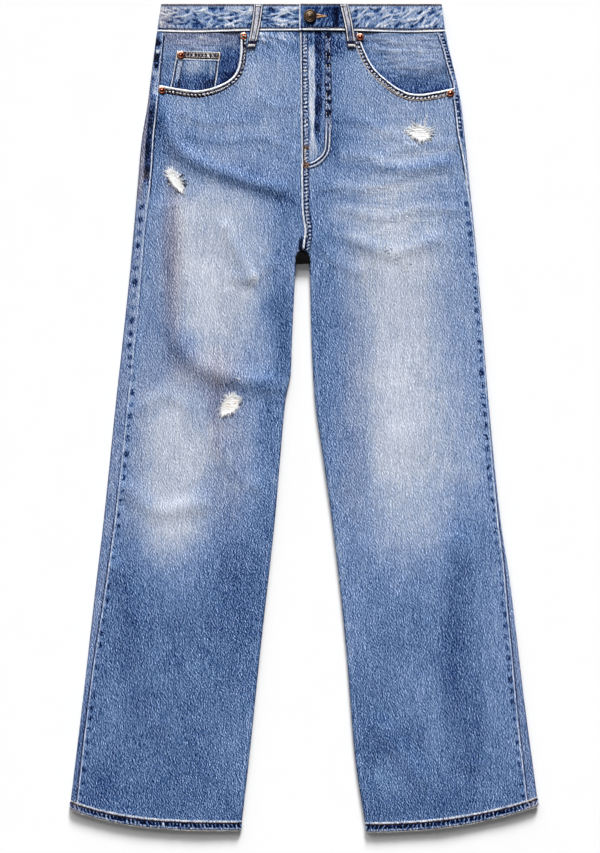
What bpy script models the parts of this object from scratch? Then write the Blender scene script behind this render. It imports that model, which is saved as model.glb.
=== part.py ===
"""Ripped blue jeans laid flat with the front up.

+Y runs from the hems to the waist and +Z is up. The origin is under the middle of the garment, on
the surface that it lies on. Right and left are the wearer's, so the right leg is on the -X side.

Sizes are in millimetres. A place on the cloth is given as its drop below the top of the waist and
its distance out from the middle of the garment, on its own side.
"""

import math
from collections import namedtuple

import bmesh
import bpy
import numpy as np

MM = 0.001

LENGTH = 1060.0
WALL = 1.1  # one layer of denim
HEM_WALL = 2.2  # folded and stitched
HEM = 12.0
GAP = 0.3  # between pieces, at seams and between layers

WAIST = 35.0  # depth of the waistband
CROTCH = 315.0
ARCH_RISE = 12.0  # height of the round top of the gap between the legs

ROLL = 4.5  # how far in from an edge the cloth rolls over to the back
ROLL_ARC = 6.0  # length of cloth from the top of the roll to its tip
TIP_TURN = math.radians(3)  # the panels meet this far above and below the tip of a roll
TIP_ARC = 0.2
HIP_TOP = 7.2
LEG_TOP = 6.0
HIP_UNDER = 1.5  # the back pockets and loops lie below this

FLY_END = 172.0
FLY_RAISE = 0.7  # the left front lies this much higher at the fly, the right this much lower
FLY_LAP = 18.0  # how far the right front goes on below the left

BAND_WALL = 2.4  # two layers and their seam allowances
BAND_TOP = 7.4
BAND_RAISE = 2.1
BAND_SINK = 0.6
# Columns of the waistband from its two ends, out from the middle: the left end has the buttonhole
# and lies over the right one.
BAND_STARTS = {
    "left": (-6.7, 0.0, 12.0, 24.0, 36.0, 48.0, 62.0, 75.0),
    "right": (-30.0, -16.0, 0.0, 14.0, 25.0, 35.0, 45.0),
}

FACING_SINK = WALL + GAP
FACING_REACH = 12.0  # how far it goes on below the front, inwards
FACING_FOOT = 140.0
FACING_RAMP = (14.0, 36.0)  # it rises to the level of the front this far from the mouth

# Outer edge of each leg, out from the middle.
Edge = namedtuple("Edge", "drop right left")
SIDE_EDGE = (
    Edge(0, 183.4, 176.3),
    Edge(36, 188.7, 181.1),
    Edge(98, 196.9, 195.0),
    Edge(124, 200.0, 200.6),
    Edge(175, 208.3, 206.4),
    Edge(226, 212.8, 211.3),
    Edge(328, 221.8, 221.5),
    Edge(431, 232.6, 230.0),
    Edge(507, 241.0, 236.0),
    Edge(661, 257.0, 251.5),
    Edge(738, 266.2, 263.4),
    Edge(892, 283.8, 282.0),
    Edge(1026, 300.0, 300.0),
)
# Inner edge of each leg below the crotch, out from the middle.
INNER_EDGE = (
    Edge(327, 9.6, 5.7),
    Edge(354, 11.8, 7.4),
    Edge(431, 15.7, 9.3),
    Edge(470, 17.0, 11.2),
    Edge(507, 24.0, 13.8),
    Edge(584, 31.0, 24.6),
    Edge(661, 37.7, 35.5),
    Edge(815, 54.8, 52.8),
    Edge(968, 70.8, 65.6),
    Edge(1060, 81.5, 79.8),
)
# How far in from the outer edge the side seam lies, where the back panel wraps round to the front.
SEAM_OFFSET = (
    Edge(35, 7.7, 6.4),
    Edge(66, 8.7, 3.0),
    Edge(98, 10.0, 3.2),
    Edge(124, 11.0, 7.7),
    Edge(157, 13.0, 7.7),
    Edge(213, 15.0, 3.2),
    Edge(300, 13.0, 1.4),
    Edge(430, 15.0, 1.2),
    Edge(540, 15.6, 2.0),
    Edge(680, 14.5, 3.8),
    Edge(768, 12.4, 7.7),
    Edge(860, 8.6, 9.8),
    Edge(937, 8.0, 12.2),
    Edge(1033, 9.0, 14.0),
)

Leg = namedtuple("Leg", "name sign hem hem_lift hem_power fly_lap")
RIGHT = Leg("right", -1, 1058.0, 27.0, 3.2, FLY_LAP)
LEFT = Leg("left", 1, 1060.0, 33.4, 2.3, 0.0)
LEGS = (RIGHT, LEFT)

# The middle line runs a little to the right of the garment's middle.
Place = namedtuple("Place", "out drop")
CENTRE_TOP = 5.4
CENTRE_CROTCH = 2.0

# Pocket mouths, from the waist seam round to the side seam.
MOUTH = {
    "right": (
        Place(81.0, 34.0),
        Place(82.2, 69.8),
        Place(88.6, 90.2),
        Place(105.3, 103.0),
        Place(132.2, 110.7),
        Place(155.2, 109.4),
        Place(190.0, 103.4),
    ),
    "left": (
        Place(67.0, 34.0),
        Place(72.6, 49.3),
        Place(84.2, 74.9),
        Place(99.5, 92.8),
        Place(125.1, 111.0),
        Place(150.7, 115.8),
        Place(198.0, 106.5),
    ),
}
COIN_TOP = (Place(106.6, 61.4), Place(162.9, 59.5))
COIN_FOOT = (113.0, 171.8)
COIN_LIFT = 0.5

# Soft ridges in the front: height, half width and the line that each follows, X and drop.
Fold = namedtuple("Fold", "name height width line")
FOLDS = (
    Fold("right_hip", 2.6, 10, ((-191, 124), (-165, 180), (-133, 204), (-82, 222), (-31, 232))),
    Fold("right_thigh", 2.2, 13, ((-176, 262), (-172, 380), (-156, 440), (-120, 470), (-44, 488))),
    Fold("crotch", 1.8, 9, ((-101, 285), (-88, 312), (-70, 348))),
    Fold("left_hip", 1.6, 9, ((100, 206), (135, 212), (178, 204))),
    Fold("left_seat", 1.4, 10, ((60, 300), (110, 318), (168, 302))),
    Fold("right_knee", 1.6, 12, ((-226, 620), (-190, 648), (-130, 640))),
    Fold("right_shin", 2.0, 14, ((-236, 722), (-204, 831), (-185, 921))),
    Fold("left_shin", 2.0, 14, ((199, 690), (206, 870), (215, 972))),
    Fold("left_hem", 1.6, 12, ((97, 925), (148, 992))),
)

# Holes in the front panels, with their white weft threads left.
Rip = namedtuple("Rip", "name leg out drop length width tilt")
RIPS = (
    Rip("thigh", RIGHT, 164.8, 226.0, 36.0, 14.0, -32.0),
    Rip("knee", RIGHT, 95.0, 513.0, 36.0, 23.0, 38.0),
    Rip("hip", LEFT, 147.5, 165.0, 32.0, 22.0, 75.0),
)
RIP_CORNERS = 14
WEFT_WALL = 0.7
WEFT_SINK = 0.2

STEPS = (0.0, 1.8, 3.8, 7.0, 14.0)  # columns next to a seam, by length of cloth
FRONT_MIDDLE = 4
BACK_MIDDLE = 3
FACING_MIDDLE = 9
OVER = (1.0, 0.6, 0.3, 0.12)  # columns of the back between side seam and tip
UNDER = (TIP_ARC, 2.0, 4.0, ROLL_ARC)
YOKE = 66.0
YOKE_DIP = 30.0  # how much lower the yoke seam is at the middle
YOKE_ROWS = (WAIST + GAP, 50)
HIP_ROWS = (86, 98, 112, 140, 170, 200, 230, 262, 295)
CROTCH_ROWS = (308, 312.5, 315, 316, 319, 327)
LEG_ROWS = (345, 385, 430, 470, 507, 560, 620, 690, 760, 830, 900, 965, 1015)

BACK_POCKET = (
    Place(30, 122),
    Place(172, 118),
    Place(160, 262),
    Place(98, 288),
    Place(38, 266),
)
TRIM_WALL = 1.2

LOOP_FOOT = 56.5
LOOP_START = 0.6
LOOP_ARCH = 0.6
FrontLoop = namedtuple("FrontLoop", "leg top_out foot_out top_width foot_width")
FRONT_LOOPS = (
    FrontLoop(RIGHT, 58.6, 68.2, 13.0, 11.0),
    FrontLoop(LEFT, 50.9, 61.1, 12.0, 11.0),
)
BACK_LOOPS = {"right": -128.0, "left": 120.0, "centre": -4.0}
BACK_LOOP_WIDTH = 12.0

RIVET_R = 4.6
RIVETS = {
    "coin": (RIGHT, 157.8, 65.9),
    "right_waist": (RIGHT, 77.6, 41.6),
    "right_side": (RIGHT, 182.0, 110.6),
    "left_waist": (LEFT, 71.6, 42.6),
    "left_side": (LEFT, 187.0, 114.4),
}
RIVET_PROFILE = (
    (0.0, 0.0),
    (RIVET_R, 0.0),
    (RIVET_R, 0.5),
    (3.9, 1.1),
    (2.7, 1.2),
    (2.2, 0.8),
    (1.3, 0.9),
    (0.8, 1.4),
    (0.0, 1.5),
)

BUTTON_X = 7.4
BUTTON_DROP = 16.0
SHANK_R = 3.0
CAP_R = 8.5
CAP_UNDER = 2.7
BUTTON_PROFILE = (
    (0.0, 0.0),
    (SHANK_R, 0.0),
    (SHANK_R, CAP_UNDER),
    (CAP_R, CAP_UNDER),
    (CAP_R, 4.0),
    (7.9, 4.7),
    (6.9, 4.7),
    (6.3, 4.1),
    (3.6, 4.1),
    (3.1, 4.6),
    (1.4, 4.9),
    (0.0, 4.9),
)
EYELET_R = 3.6
SLIT = 2.2
SLIT_LENGTH = 20.0


def clear_scene():
    for obj in list(bpy.data.objects):
        bpy.data.objects.remove(obj, do_unlink=True)


def material(name, colour, roughness, metallic=0.0):
    made = bpy.data.materials.new(name)
    made.use_nodes = True
    shader = made.node_tree.nodes["Principled BSDF"]
    shader.inputs["Base Color"].default_value = (*colour, 1.0)
    shader.inputs["Roughness"].default_value = roughness
    shader.inputs["Metallic"].default_value = metallic
    made.diffuse_color = (*colour, 1.0)
    return made


def smooth_step(value, start, end):
    t = np.clip((value - start) / (end - start), 0, 1)
    return t * t * (3 - 2 * t)


def read(table, leg, drop):
    """A column of a table at any drop, as a smooth curve that doesn't swing past its rows."""
    xs = np.array([row.drop for row in table], float)
    ys = np.array([getattr(row, leg.name) for row in table], float)
    gap = np.diff(xs)
    slope = np.diff(ys) / gap
    turns = slope[:-1] * slope[1:] <= 0
    mean = 2 * slope[:-1] * slope[1:] / np.where(turns, 1, slope[:-1] + slope[1:])
    tangent = np.concatenate([slope[:1], np.where(turns, 0, mean), slope[-1:]])
    drop = np.clip(drop, xs[0], xs[-1])
    i = np.clip(np.searchsorted(xs, drop) - 1, 0, len(gap) - 1)
    t = (drop - xs[i]) / gap[i]
    ends = (1 + 2 * t) * (1 - t) ** 2 * ys[i] + t * t * (3 - 2 * t) * ys[i + 1]
    bends = t * (1 - t) ** 2 * tangent[i] - t * t * (1 - t) * tangent[i + 1]
    return ends + gap[i] * bends


def curve_through(points, steps):
    """A Catmull-Rom curve through the points, with this many steps between two of them."""
    points = np.array(points, float)
    ends = 2 * points[[0, -1]] - points[[1, -2]]
    points = np.concatenate([ends[:1], points, ends[1:]])
    t = (np.arange(steps) / steps)[:, None]
    spans = [
        0.5 * (2 * b + (c - a) * t + (2 * a - 5 * b + 4 * c - d) * t**2 + (3 * (b - c) + d - a) * t**3)
        for a, b, c, d in zip(points, points[1:], points[2:], points[3:])
    ]
    return np.concatenate([*spans, points[-2:-1]])


def signed_distance(line, across, along):
    """Distance from each place to a line of points, positive on the line's left."""
    start, run = line[:-1], np.diff(line, axis=0)
    away = np.stack([across, along], axis=-1)[..., None, :] - start
    t = np.clip((away * run).sum(-1) / (run * run).sum(-1), 0, 1)
    offset = away - t[..., None] * run
    distance = np.hypot(offset[..., 0], offset[..., 1])
    side = np.sign(run[..., 1] * away[..., 0] - run[..., 0] * away[..., 1])
    near = distance.argmin(-1)[..., None]
    pick = np.take_along_axis
    return (pick(distance, near, -1) * pick(side, near, -1))[..., 0]


# The outline in plan.


def outer_edge(leg, drop):
    return read(SIDE_EDGE, leg, drop)


def centre_line(leg, drop):
    part = np.clip((drop - WAIST) / (CROTCH - WAIST), 0, 1)
    return -leg.sign * (CENTRE_TOP + (CENTRE_CROTCH - CENTRE_TOP) * part)


def inner_edge(leg, drop):
    """The middle line down to the crotch, then round the top of the gap and down the inseam."""
    centre = centre_line(leg, drop)
    gap = read(INNER_EDGE, leg, np.maximum(drop, CROTCH + ARCH_RISE))
    down = np.clip((drop - CROTCH) / ARCH_RISE, 0, 1)
    return centre + (gap - centre) * np.sqrt(1 - (1 - down) ** 2)


def edge_distance(leg, out, drop):
    """How far in from the nearest edge a place is, the middle line not counted."""
    top = CROTCH + ARCH_RISE
    centre = centre_line(leg, CROTCH)
    half = inner_edge(leg, np.array(top)) - centre
    across, above = out - centre, np.maximum(top - drop, 0.0)
    ring = np.maximum(np.hypot(across / half, above / ARCH_RISE), 1e-6)
    arch = (1 - 1 / ring) * np.hypot(across, above)
    gap = np.where(above > 0, arch, out - inner_edge(leg, drop))
    return np.clip(np.minimum(outer_edge(leg, drop) - out, gap), 0, None)


def reach(arc):
    """How far in from an edge a length of cloth comes, measured from the tip of the roll."""
    turn = np.clip(arc / ROLL_ARC, 0, 1) * math.pi / 2
    return ROLL * (1 - np.cos(turn)) + np.maximum(arc - ROLL_ARC, 0)


def arc_at(distance):
    turn = np.arccos(1 - np.clip(distance / ROLL, 0, 1))
    return ROLL_ARC * turn / (math.pi / 2) + np.maximum(distance - ROLL, 0)


# Heights.


def top_height(drop):
    return HIP_TOP + (LEG_TOP - HIP_TOP) * smooth_step(drop, 300, 420)


def under_height(drop):
    return HIP_UNDER * (1 - smooth_step(drop, 298, 335))


def fold_height(x, drop):
    height = np.zeros_like(x)
    for fold in FOLDS:
        line = curve_through(fold.line, 4)
        height += fold.height * np.exp(-((signed_distance(line, x, drop) / fold.width) ** 2))
    return height


def fly_height(leg, out, drop):
    from_centre = out - centre_line(leg, drop)
    start, end = (30, 70) if leg is LEFT else (6, 40)
    near = (1 - smooth_step(drop, FLY_END, FLY_END + 25)) * (1 - smooth_step(from_centre, start, end))
    return leg.sign * FLY_RAISE * near


def band_height(leg, out, _drop):
    if leg is LEFT:
        return BAND_RAISE * (1 - smooth_step(out, 36, 75))
    return -BAND_SINK * (1 - smooth_step(out, 14, 45))


def no_height(_leg, out, _drop):
    return np.zeros_like(out)


def surface(leg, out, drop, under=False, top=top_height, raised=no_height, folds=True):
    """Points on the outside of the cloth, and the way that it faces at each."""
    out, drop = np.broadcast_arrays(np.asarray(out, float), np.asarray(drop, float))
    turn = np.arccos(1 - np.minimum(edge_distance(leg, out, drop) / ROLL, 1))
    turn = np.maximum(turn, TIP_TURN)
    step = 0.05
    across = edge_distance(leg, out + step, drop) - edge_distance(leg, out - step, drop)
    along = edge_distance(leg, out, drop - step) - edge_distance(leg, out, drop + step)
    size = np.maximum(np.hypot(across, along), 1e-9)
    top_z = top(drop) if callable(top) else np.full_like(out, top)
    under_z = under_height(drop)
    middle, half = (top_z + under_z) / 2, (top_z - under_z) / 2
    rise = np.sin(turn)
    if under:
        z = middle - half * rise
    else:
        lift = raised(leg, out, drop)
        if folds:
            lift = lift + fold_height(leg.sign * out, drop)
        z = middle + half * rise + lift * rise
    points = np.stack([leg.sign * out, LENGTH / 2 - drop, z], axis=-1)
    faces = np.stack(
        [
            -np.cos(turn) * across / size * leg.sign,
            -np.cos(turn) * along / size,
            -rise if under else rise,
        ],
        axis=-1,
    )
    return points, faces


# Rows and columns of the panels.


def warp(leg, across, row, dip=0.0):
    """Drop of a row at a place across the leg, 0 at its inner edge and 1 at its outer one."""
    sag = 2.5 * np.exp(-(((across - 0.75) / 0.3) ** 2)) * (1 - smooth_step(row, WAIST, WAIST + 60))
    lift = leg.hem_lift * np.clip(across, 0, 1) ** leg.hem_power * smooth_step(row, 850, leg.hem)
    yoke = smooth_step(row, WAIST, YOKE) * (1 - smooth_step(row, YOKE, 150))
    return row + sag - lift + dip * np.clip(1 - across / 0.9, 0, 1) * yoke


def across_leg(leg, out, drop):
    inner = inner_edge(leg, drop)
    return (out - inner) / (outer_edge(leg, drop) - inner)


def inner_steps(leg, drop, steps):
    """Columns next to the inner edge, or next to the middle line above the crotch."""
    lap = leg.fly_lap * (1 - smooth_step(drop, FLY_END - 22, FLY_END))
    start = inner_edge(leg, drop) + np.where(drop < CROTCH, GAP / 2 - lap, 0)
    return [start + reach(TIP_ARC + step) for step in steps]


def between(start, end, count):
    return [start + (end - start) * (i + 1) / (count + 1) for i in range(count)]


def front_columns(leg, drop):
    seam = arc_at(read(SEAM_OFFSET, leg, drop)) + GAP / 2
    outer = [outer_edge(leg, drop) - reach(seam + step) for step in STEPS]
    inner = inner_steps(leg, drop, STEPS[::-1])
    return np.stack([*outer, *between(outer[-1], inner[0], FRONT_MIDDLE), *inner], axis=-1)


def facing_columns(leg, drop):
    seam = arc_at(read(SEAM_OFFSET, leg, drop)) + GAP / 2
    outer = [outer_edge(leg, drop) - reach(seam + step) for step in STEPS]
    end = np.full_like(outer[-1], MOUTH[leg.name][0].out - FACING_REACH)
    return np.stack([*outer, *between(outer[-1], end, FACING_MIDDLE), end], axis=-1)


def over_columns(leg, drop):
    seam = arc_at(read(SEAM_OFFSET, leg, drop)) - GAP / 2
    return np.stack([outer_edge(leg, drop) - reach(seam * part) for part in OVER], axis=-1)


def under_columns(leg, drop):
    outer = [outer_edge(leg, drop) - reach(arc) for arc in UNDER]
    start = inner_edge(leg, drop) + np.where(drop < CROTCH, GAP / 2, 0)
    inner = [start + reach(arc) for arc in UNDER[::-1]]
    return np.stack([*outer, *between(outer[-1], inner[0], BACK_MIDDLE), *inner], axis=-1)


def grid(leg, rows, columns, dip=0.0):
    """(out, drop) of every place where a row crosses a column."""
    rows = np.array(rows, float)
    out = columns(leg, rows)
    drop = warp(leg, across_leg(leg, out, rows[:, None]), rows[:, None], dip)
    every = columns(leg, drop)
    return np.einsum("rkk->rk", every), drop


def panel_rows(start, leg):
    return (*start, *HIP_ROWS, *CROTCH_ROWS, *LEG_ROWS, leg.hem - HEM - 3, leg.hem - HEM, leg.hem)


def walls(leg, rows):
    at_hem = np.array(rows) > leg.hem - HEM - 1
    return np.where(at_hem, HEM_WALL, WALL)[:, None, None]


# Meshes.


def add_mesh(name, verts, faces, look, smooth=True):
    mesh = bpy.data.meshes.new(name)
    mesh.from_pydata([tuple(v) for v in np.asarray(verts) * MM], [], faces)
    bm = bmesh.new()
    bm.from_mesh(mesh)
    bmesh.ops.recalc_face_normals(bm, faces=bm.faces)
    bm.to_mesh(mesh)
    bm.free()
    obj = bpy.data.objects.new(name, mesh)
    bpy.context.scene.collection.objects.link(obj)
    mesh.materials.append(look)
    if smooth:
        mesh.shade_smooth()
        mesh.set_sharp_from_angle(angle=math.radians(40))
    return obj


def add_sheet(name, outside, inside, look):
    """A wall of cloth between two grids of points, closed along its four edges."""
    rows, columns = outside.shape[:2]
    index = np.arange(rows * columns).reshape(rows, columns)
    faces = []
    for layer in (index, index + rows * columns):
        corners = (layer[:-1, :-1], layer[1:, :-1], layer[1:, 1:], layer[:-1, 1:])
        faces += np.stack(corners, axis=-1).reshape(-1, 4).tolist()
    rim = [*index[0], *index[1:, -1], *index[-1, -2::-1], *index[-2:0:-1, 0]]
    for a, b in zip(rim, rim[1:] + rim[:1]):
        faces.append([int(a), int(b), int(b) + rows * columns, int(a) + rows * columns])
    verts = np.concatenate([outside.reshape(-1, 3), inside.reshape(-1, 3)])
    return add_mesh(name, verts, faces, look)


def add_plate(name, outline, low, high, look):
    """A flat plate with this outline in plan."""
    count = len(outline)
    verts = [(x, y, z) for z in (low, high) for x, y in outline]
    sides = [[i, (i + 1) % count, (i + 1) % count + count, i + count] for i in range(count)]
    faces = [list(range(count)), list(range(count, 2 * count)), *sides]
    return add_mesh(name, verts, faces, look, smooth=False)


def add_turned(name, profile, place, look, sides=20):
    """A profile of (radius, height) turned about a vertical axis."""
    verts, faces, rings = [], [], []
    for radius, height in profile:
        if radius == 0:
            rings.append([len(verts)] * sides)
            verts.append((0.0, 0.0, height))
            continue
        rings.append(list(range(len(verts), len(verts) + sides)))
        for i in range(sides):
            angle = 2 * math.pi * i / sides
            verts.append((radius * math.cos(angle), radius * math.sin(angle), height))
    for low, high in zip(rings, rings[1:]):
        for i in range(sides):
            j = (i + 1) % sides
            corners = dict.fromkeys((low[i], low[j], high[j], high[i]))
            faces.append(list(corners))
    obj = add_mesh(name, verts, faces, look)
    obj.location = [value * MM for value in place]
    return obj


def cut(obj, name, outline, low=-5.0, high=20.0):
    """Cuts an upright hole with this outline through the cloth."""
    cutter = add_plate(f"cutter_{name}", outline, low, high, obj.data.materials[0])
    cutter.hide_render = True
    cutter.display_type = "WIRE"
    boolean = obj.modifiers.new(name, "BOOLEAN")
    boolean.operation = "DIFFERENCE"
    boolean.solver = "EXACT"
    boolean.object = cutter


def plan(leg, places):
    return [(leg.sign * out, LENGTH / 2 - drop) for out, drop in places]


# Pieces.


def mouth_line(leg):
    return curve_through(MOUTH[leg.name], 5)


def mouth_outline(leg):
    line = mouth_line(leg)
    return [(line[0][0], 10.0), *map(tuple, line), (240.0, line[-1][1] - 8.0), (240.0, 10.0)]


def rip_outline(rip, margin=0.0):
    """A ragged oval."""
    tilt = math.radians(rip.tilt)
    places = []
    for i in range(RIP_CORNERS):
        angle = 2 * math.pi * i / RIP_CORNERS
        ragged = 1 + 0.10 * math.cos(3 * angle + rip.tilt) + 0.06 * math.cos(5 * angle)
        along = (rip.length / 2 - margin) * ragged * math.cos(angle)
        across = (rip.width / 2 - margin) * ragged * math.sin(angle)
        out = rip.out + across * math.cos(tilt) + along * math.sin(tilt)
        drop = rip.drop + along * math.cos(tilt) - across * math.sin(tilt)
        places.append((out, drop))
    return places


def add_front(leg, look):
    rows = panel_rows((*YOKE_ROWS, YOKE), leg)
    out, drop = grid(leg, rows, front_columns)
    points, faces = surface(leg, out, drop, raised=fly_height)
    panel = add_sheet(f"front_{leg.name}", points, points - walls(leg, rows) * faces, look)
    cut(panel, f"mouth_{leg.name}", plan(leg, mouth_outline(leg)))
    for rip in RIPS:
        if rip.leg is leg:
            cut(panel, f"rip_{rip.name}", plan(leg, rip_outline(rip)))


def add_weft(rip, look):
    """The threads that are left across a rip."""
    place, _ = surface(rip.leg, rip.out, rip.drop)
    high = float(place[2]) - WEFT_SINK
    outline = plan(rip.leg, rip_outline(rip, margin=1.2 * GAP))
    add_plate(f"weft_{rip.name}", outline, high - WEFT_WALL, high, look)


def back_sheet(name, leg, rows, look, wall):
    over_out, over_drop = grid(leg, rows, over_columns, YOKE_DIP)
    under_out, under_drop = grid(leg, rows, under_columns, YOKE_DIP)
    over, over_faces = surface(leg, over_out, over_drop)
    under, under_faces = surface(leg, under_out, under_drop, under=True)
    points = np.concatenate([over, under], axis=1)
    faces = np.concatenate([over_faces, under_faces], axis=1)
    add_sheet(name, points, points - wall * faces, look)


def add_back(leg, look):
    rows = panel_rows((YOKE + GAP / 2,), leg)
    back_sheet(f"back_{leg.name}", leg, rows, look, walls(leg, rows))


def add_yoke(leg, look):
    rows = (*YOKE_ROWS, YOKE - GAP / 2)
    back_sheet(f"yoke_{leg.name}", leg, rows, look, WALL)


def facing_surface(leg, out, drop):
    """Just below the front at the pocket mouth, and level with it at the side seam."""
    points, faces = surface(leg, out, drop)
    into = signed_distance(mouth_line(leg), out, drop)
    sink = FACING_SINK * (1 - smooth_step(into, *FACING_RAMP))
    return points - sink[..., None] * faces, faces


def add_facing(leg, look):
    rows = (*YOKE_ROWS, YOKE, *(row for row in HIP_ROWS if row <= FACING_FOOT))
    out, drop = grid(leg, rows, facing_columns)
    points, faces = facing_surface(leg, out, drop)
    add_sheet(f"pocket_facing_{leg.name}", points, points - WALL * faces, look)


def add_coin_pocket(look):
    """Lies on the right facing and ends at the edge of the front's pocket mouth."""
    line = mouth_line(RIGHT)
    low = line[line[:, 0] > 100]
    u = np.linspace(0, 1, 9)
    top_out = COIN_TOP[0].out + (COIN_TOP[1].out - COIN_TOP[0].out) * u
    top_drop = COIN_TOP[0].drop + (COIN_TOP[1].drop - COIN_TOP[0].drop) * u
    foot_out = COIN_FOOT[0] + (COIN_FOOT[1] - COIN_FOOT[0]) * u
    foot_drop = np.interp(foot_out, low[:, 0], low[:, 1]) - 1.5 * GAP
    v = np.linspace(0, 1, 6)[:, None]
    points, faces = facing_surface(
        RIGHT, top_out + (foot_out - top_out) * v, top_drop + (foot_drop - top_drop) * v
    )
    add_sheet("coin_pocket", points + (COIN_LIFT + WALL) * faces, points + COIN_LIFT * faces, look)


def band_points(leg, out, part, under=False):
    """Places on the waistband: part is 0 at its top edge and 1 at its seam."""
    drop = (warp(leg, across_leg(leg, out, WAIST), WAIST) - GAP) * part
    return surface(leg, out, drop, under, BAND_TOP, band_height, folds=False)


def band_side(leg, part):
    """From the band's end at the front, over the front, round the side and in to the middle back."""
    edge = outer_edge(leg, WAIST * part)
    tip = [edge - reach(arc) for arc in UNDER]
    start = BAND_STARTS[leg.name]
    over = [*start, *between(start[-1], tip[-1], 3), *tip[:0:-1]]
    below = [*tip, *between(tip[-1], 0.0, 3), 0.0]
    pairs = zip(band_points(leg, np.array(over), part), band_points(leg, np.array(below), part, True))
    return [np.concatenate(pair) for pair in pairs]


def keyhole():
    """An eyelet round the shank, and the slit that leads off it."""
    first = math.asin(SLIT / 2 / EYELET_R)
    turn = (2 * math.pi - 2 * first) / 16
    ring = [
        (EYELET_R * math.cos(first + turn * i), EYELET_R * math.sin(first + turn * i))
        for i in range(17)
    ]
    slit = [(SLIT_LENGTH, -SLIT / 2), (SLIT_LENGTH, SLIT / 2)]
    return [(BUTTON_X + x, LENGTH / 2 - BUTTON_DROP + y) for x, y in [*ring, *slit]]


def add_waistband(look):
    """One strip from the buttonhole end, round the left side and the back, to the underlap."""
    outside, facing = [], []
    for part in (0.0, 0.34, 0.67, 1.0):
        left, right = band_side(LEFT, part), band_side(RIGHT, part)
        outside.append(np.concatenate([left[0], right[0][-2::-1]]))
        facing.append(np.concatenate([left[1], right[1][-2::-1]]))
    outside, facing = np.array(outside), np.array(facing)
    band = add_sheet("waistband", outside, outside - BAND_WALL * facing, look)
    cut(band, "buttonhole", keyhole(), low=BAND_TOP - BAND_SINK + GAP / 2)


def add_front_loop(loop, look):
    """Stands a little off the waistband, with its foot on the front."""
    v = np.linspace(0, 1, 9)[:, None]
    u = np.linspace(-0.5, 0.5, 3)
    drop = LOOP_START + (LOOP_FOOT - LOOP_START) * v
    width = loop.top_width + (loop.foot_width - loop.top_width) * v
    out = loop.top_out + (loop.foot_out - loop.top_out) * v + width * u
    drop = np.broadcast_to(drop, out.shape)
    on_band, _ = surface(loop.leg, out, drop, top=BAND_TOP, raised=band_height, folds=False)
    on_front, _ = surface(loop.leg, out, drop, raised=fly_height)
    foot = smooth_step(drop, WAIST, WAIST + 8)
    low = on_band.copy()
    low[..., 2] += (on_front[..., 2] - on_band[..., 2]) * foot + GAP
    low[..., 2] += LOOP_ARCH * np.sin(math.pi * v)
    high = low + (0, 0, TRIM_WALL)
    add_sheet(f"belt_loop_front_{loop.leg.name}", high, low, look)


def add_back_loop(name, x, look):
    half = BACK_LOOP_WIDTH / 2
    ends = (LENGTH / 2 - LOOP_START, LENGTH / 2 - LOOP_FOOT)
    outline = [(x - half, ends[0]), (x + half, ends[0]), (x + half, ends[1]), (x - half, ends[1])]
    add_plate(f"belt_loop_back_{name}", outline, 0.0, TRIM_WALL, look)


def add_rivet(name, leg, out, drop, look):
    """Rests on the highest place below its rim."""
    angle = np.linspace(0, 2 * math.pi, 13)
    rim = (leg, out + RIVET_R * np.cos(angle), drop + RIVET_R * np.sin(angle))
    if name == "coin":
        points, _ = facing_surface(*rim)
        seat = COIN_LIFT + WALL + GAP
    else:
        points, _ = surface(*rim, raised=fly_height)
        seat = GAP
    z = float(points[:, 2].max()) + seat
    add_turned(f"rivet_{name}", RIVET_PROFILE, (leg.sign * out, LENGTH / 2 - drop, z), look)


def main():
    clear_scene()
    denim = material("denim", (0.29, 0.38, 0.55), 0.9)
    denim_dark = material("denim_dark", (0.10, 0.17, 0.33), 0.9)
    denim_back = material("denim_back", (0.20, 0.29, 0.46), 0.9)
    weft = material("weft", (0.86, 0.85, 0.83), 0.95)
    copper = material("copper", (0.55, 0.24, 0.13), 0.45, 0.9)
    brass = material("brass", (0.22, 0.15, 0.08), 0.5, 0.9)
    for leg in LEGS:
        add_front(leg, denim)
        add_back(leg, denim_back)
        add_yoke(leg, denim_back)
        add_facing(leg, denim_dark)
        add_plate(f"back_pocket_{leg.name}", plan(leg, BACK_POCKET), 0.0, TRIM_WALL, denim_back)
    add_coin_pocket(denim)
    add_waistband(denim)
    for loop in FRONT_LOOPS:
        add_front_loop(loop, denim)
    for name, x in BACK_LOOPS.items():
        add_back_loop(name, x, denim_back)
    for rip in RIPS:
        add_weft(rip, weft)
    for name, (leg, out, drop) in RIVETS.items():
        add_rivet(name, leg, out, drop, copper)
    shank_z = BAND_TOP - BAND_SINK + GAP
    add_turned("button", BUTTON_PROFILE, (BUTTON_X, LENGTH / 2 - BUTTON_DROP, shank_z), brass)


main()
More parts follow.
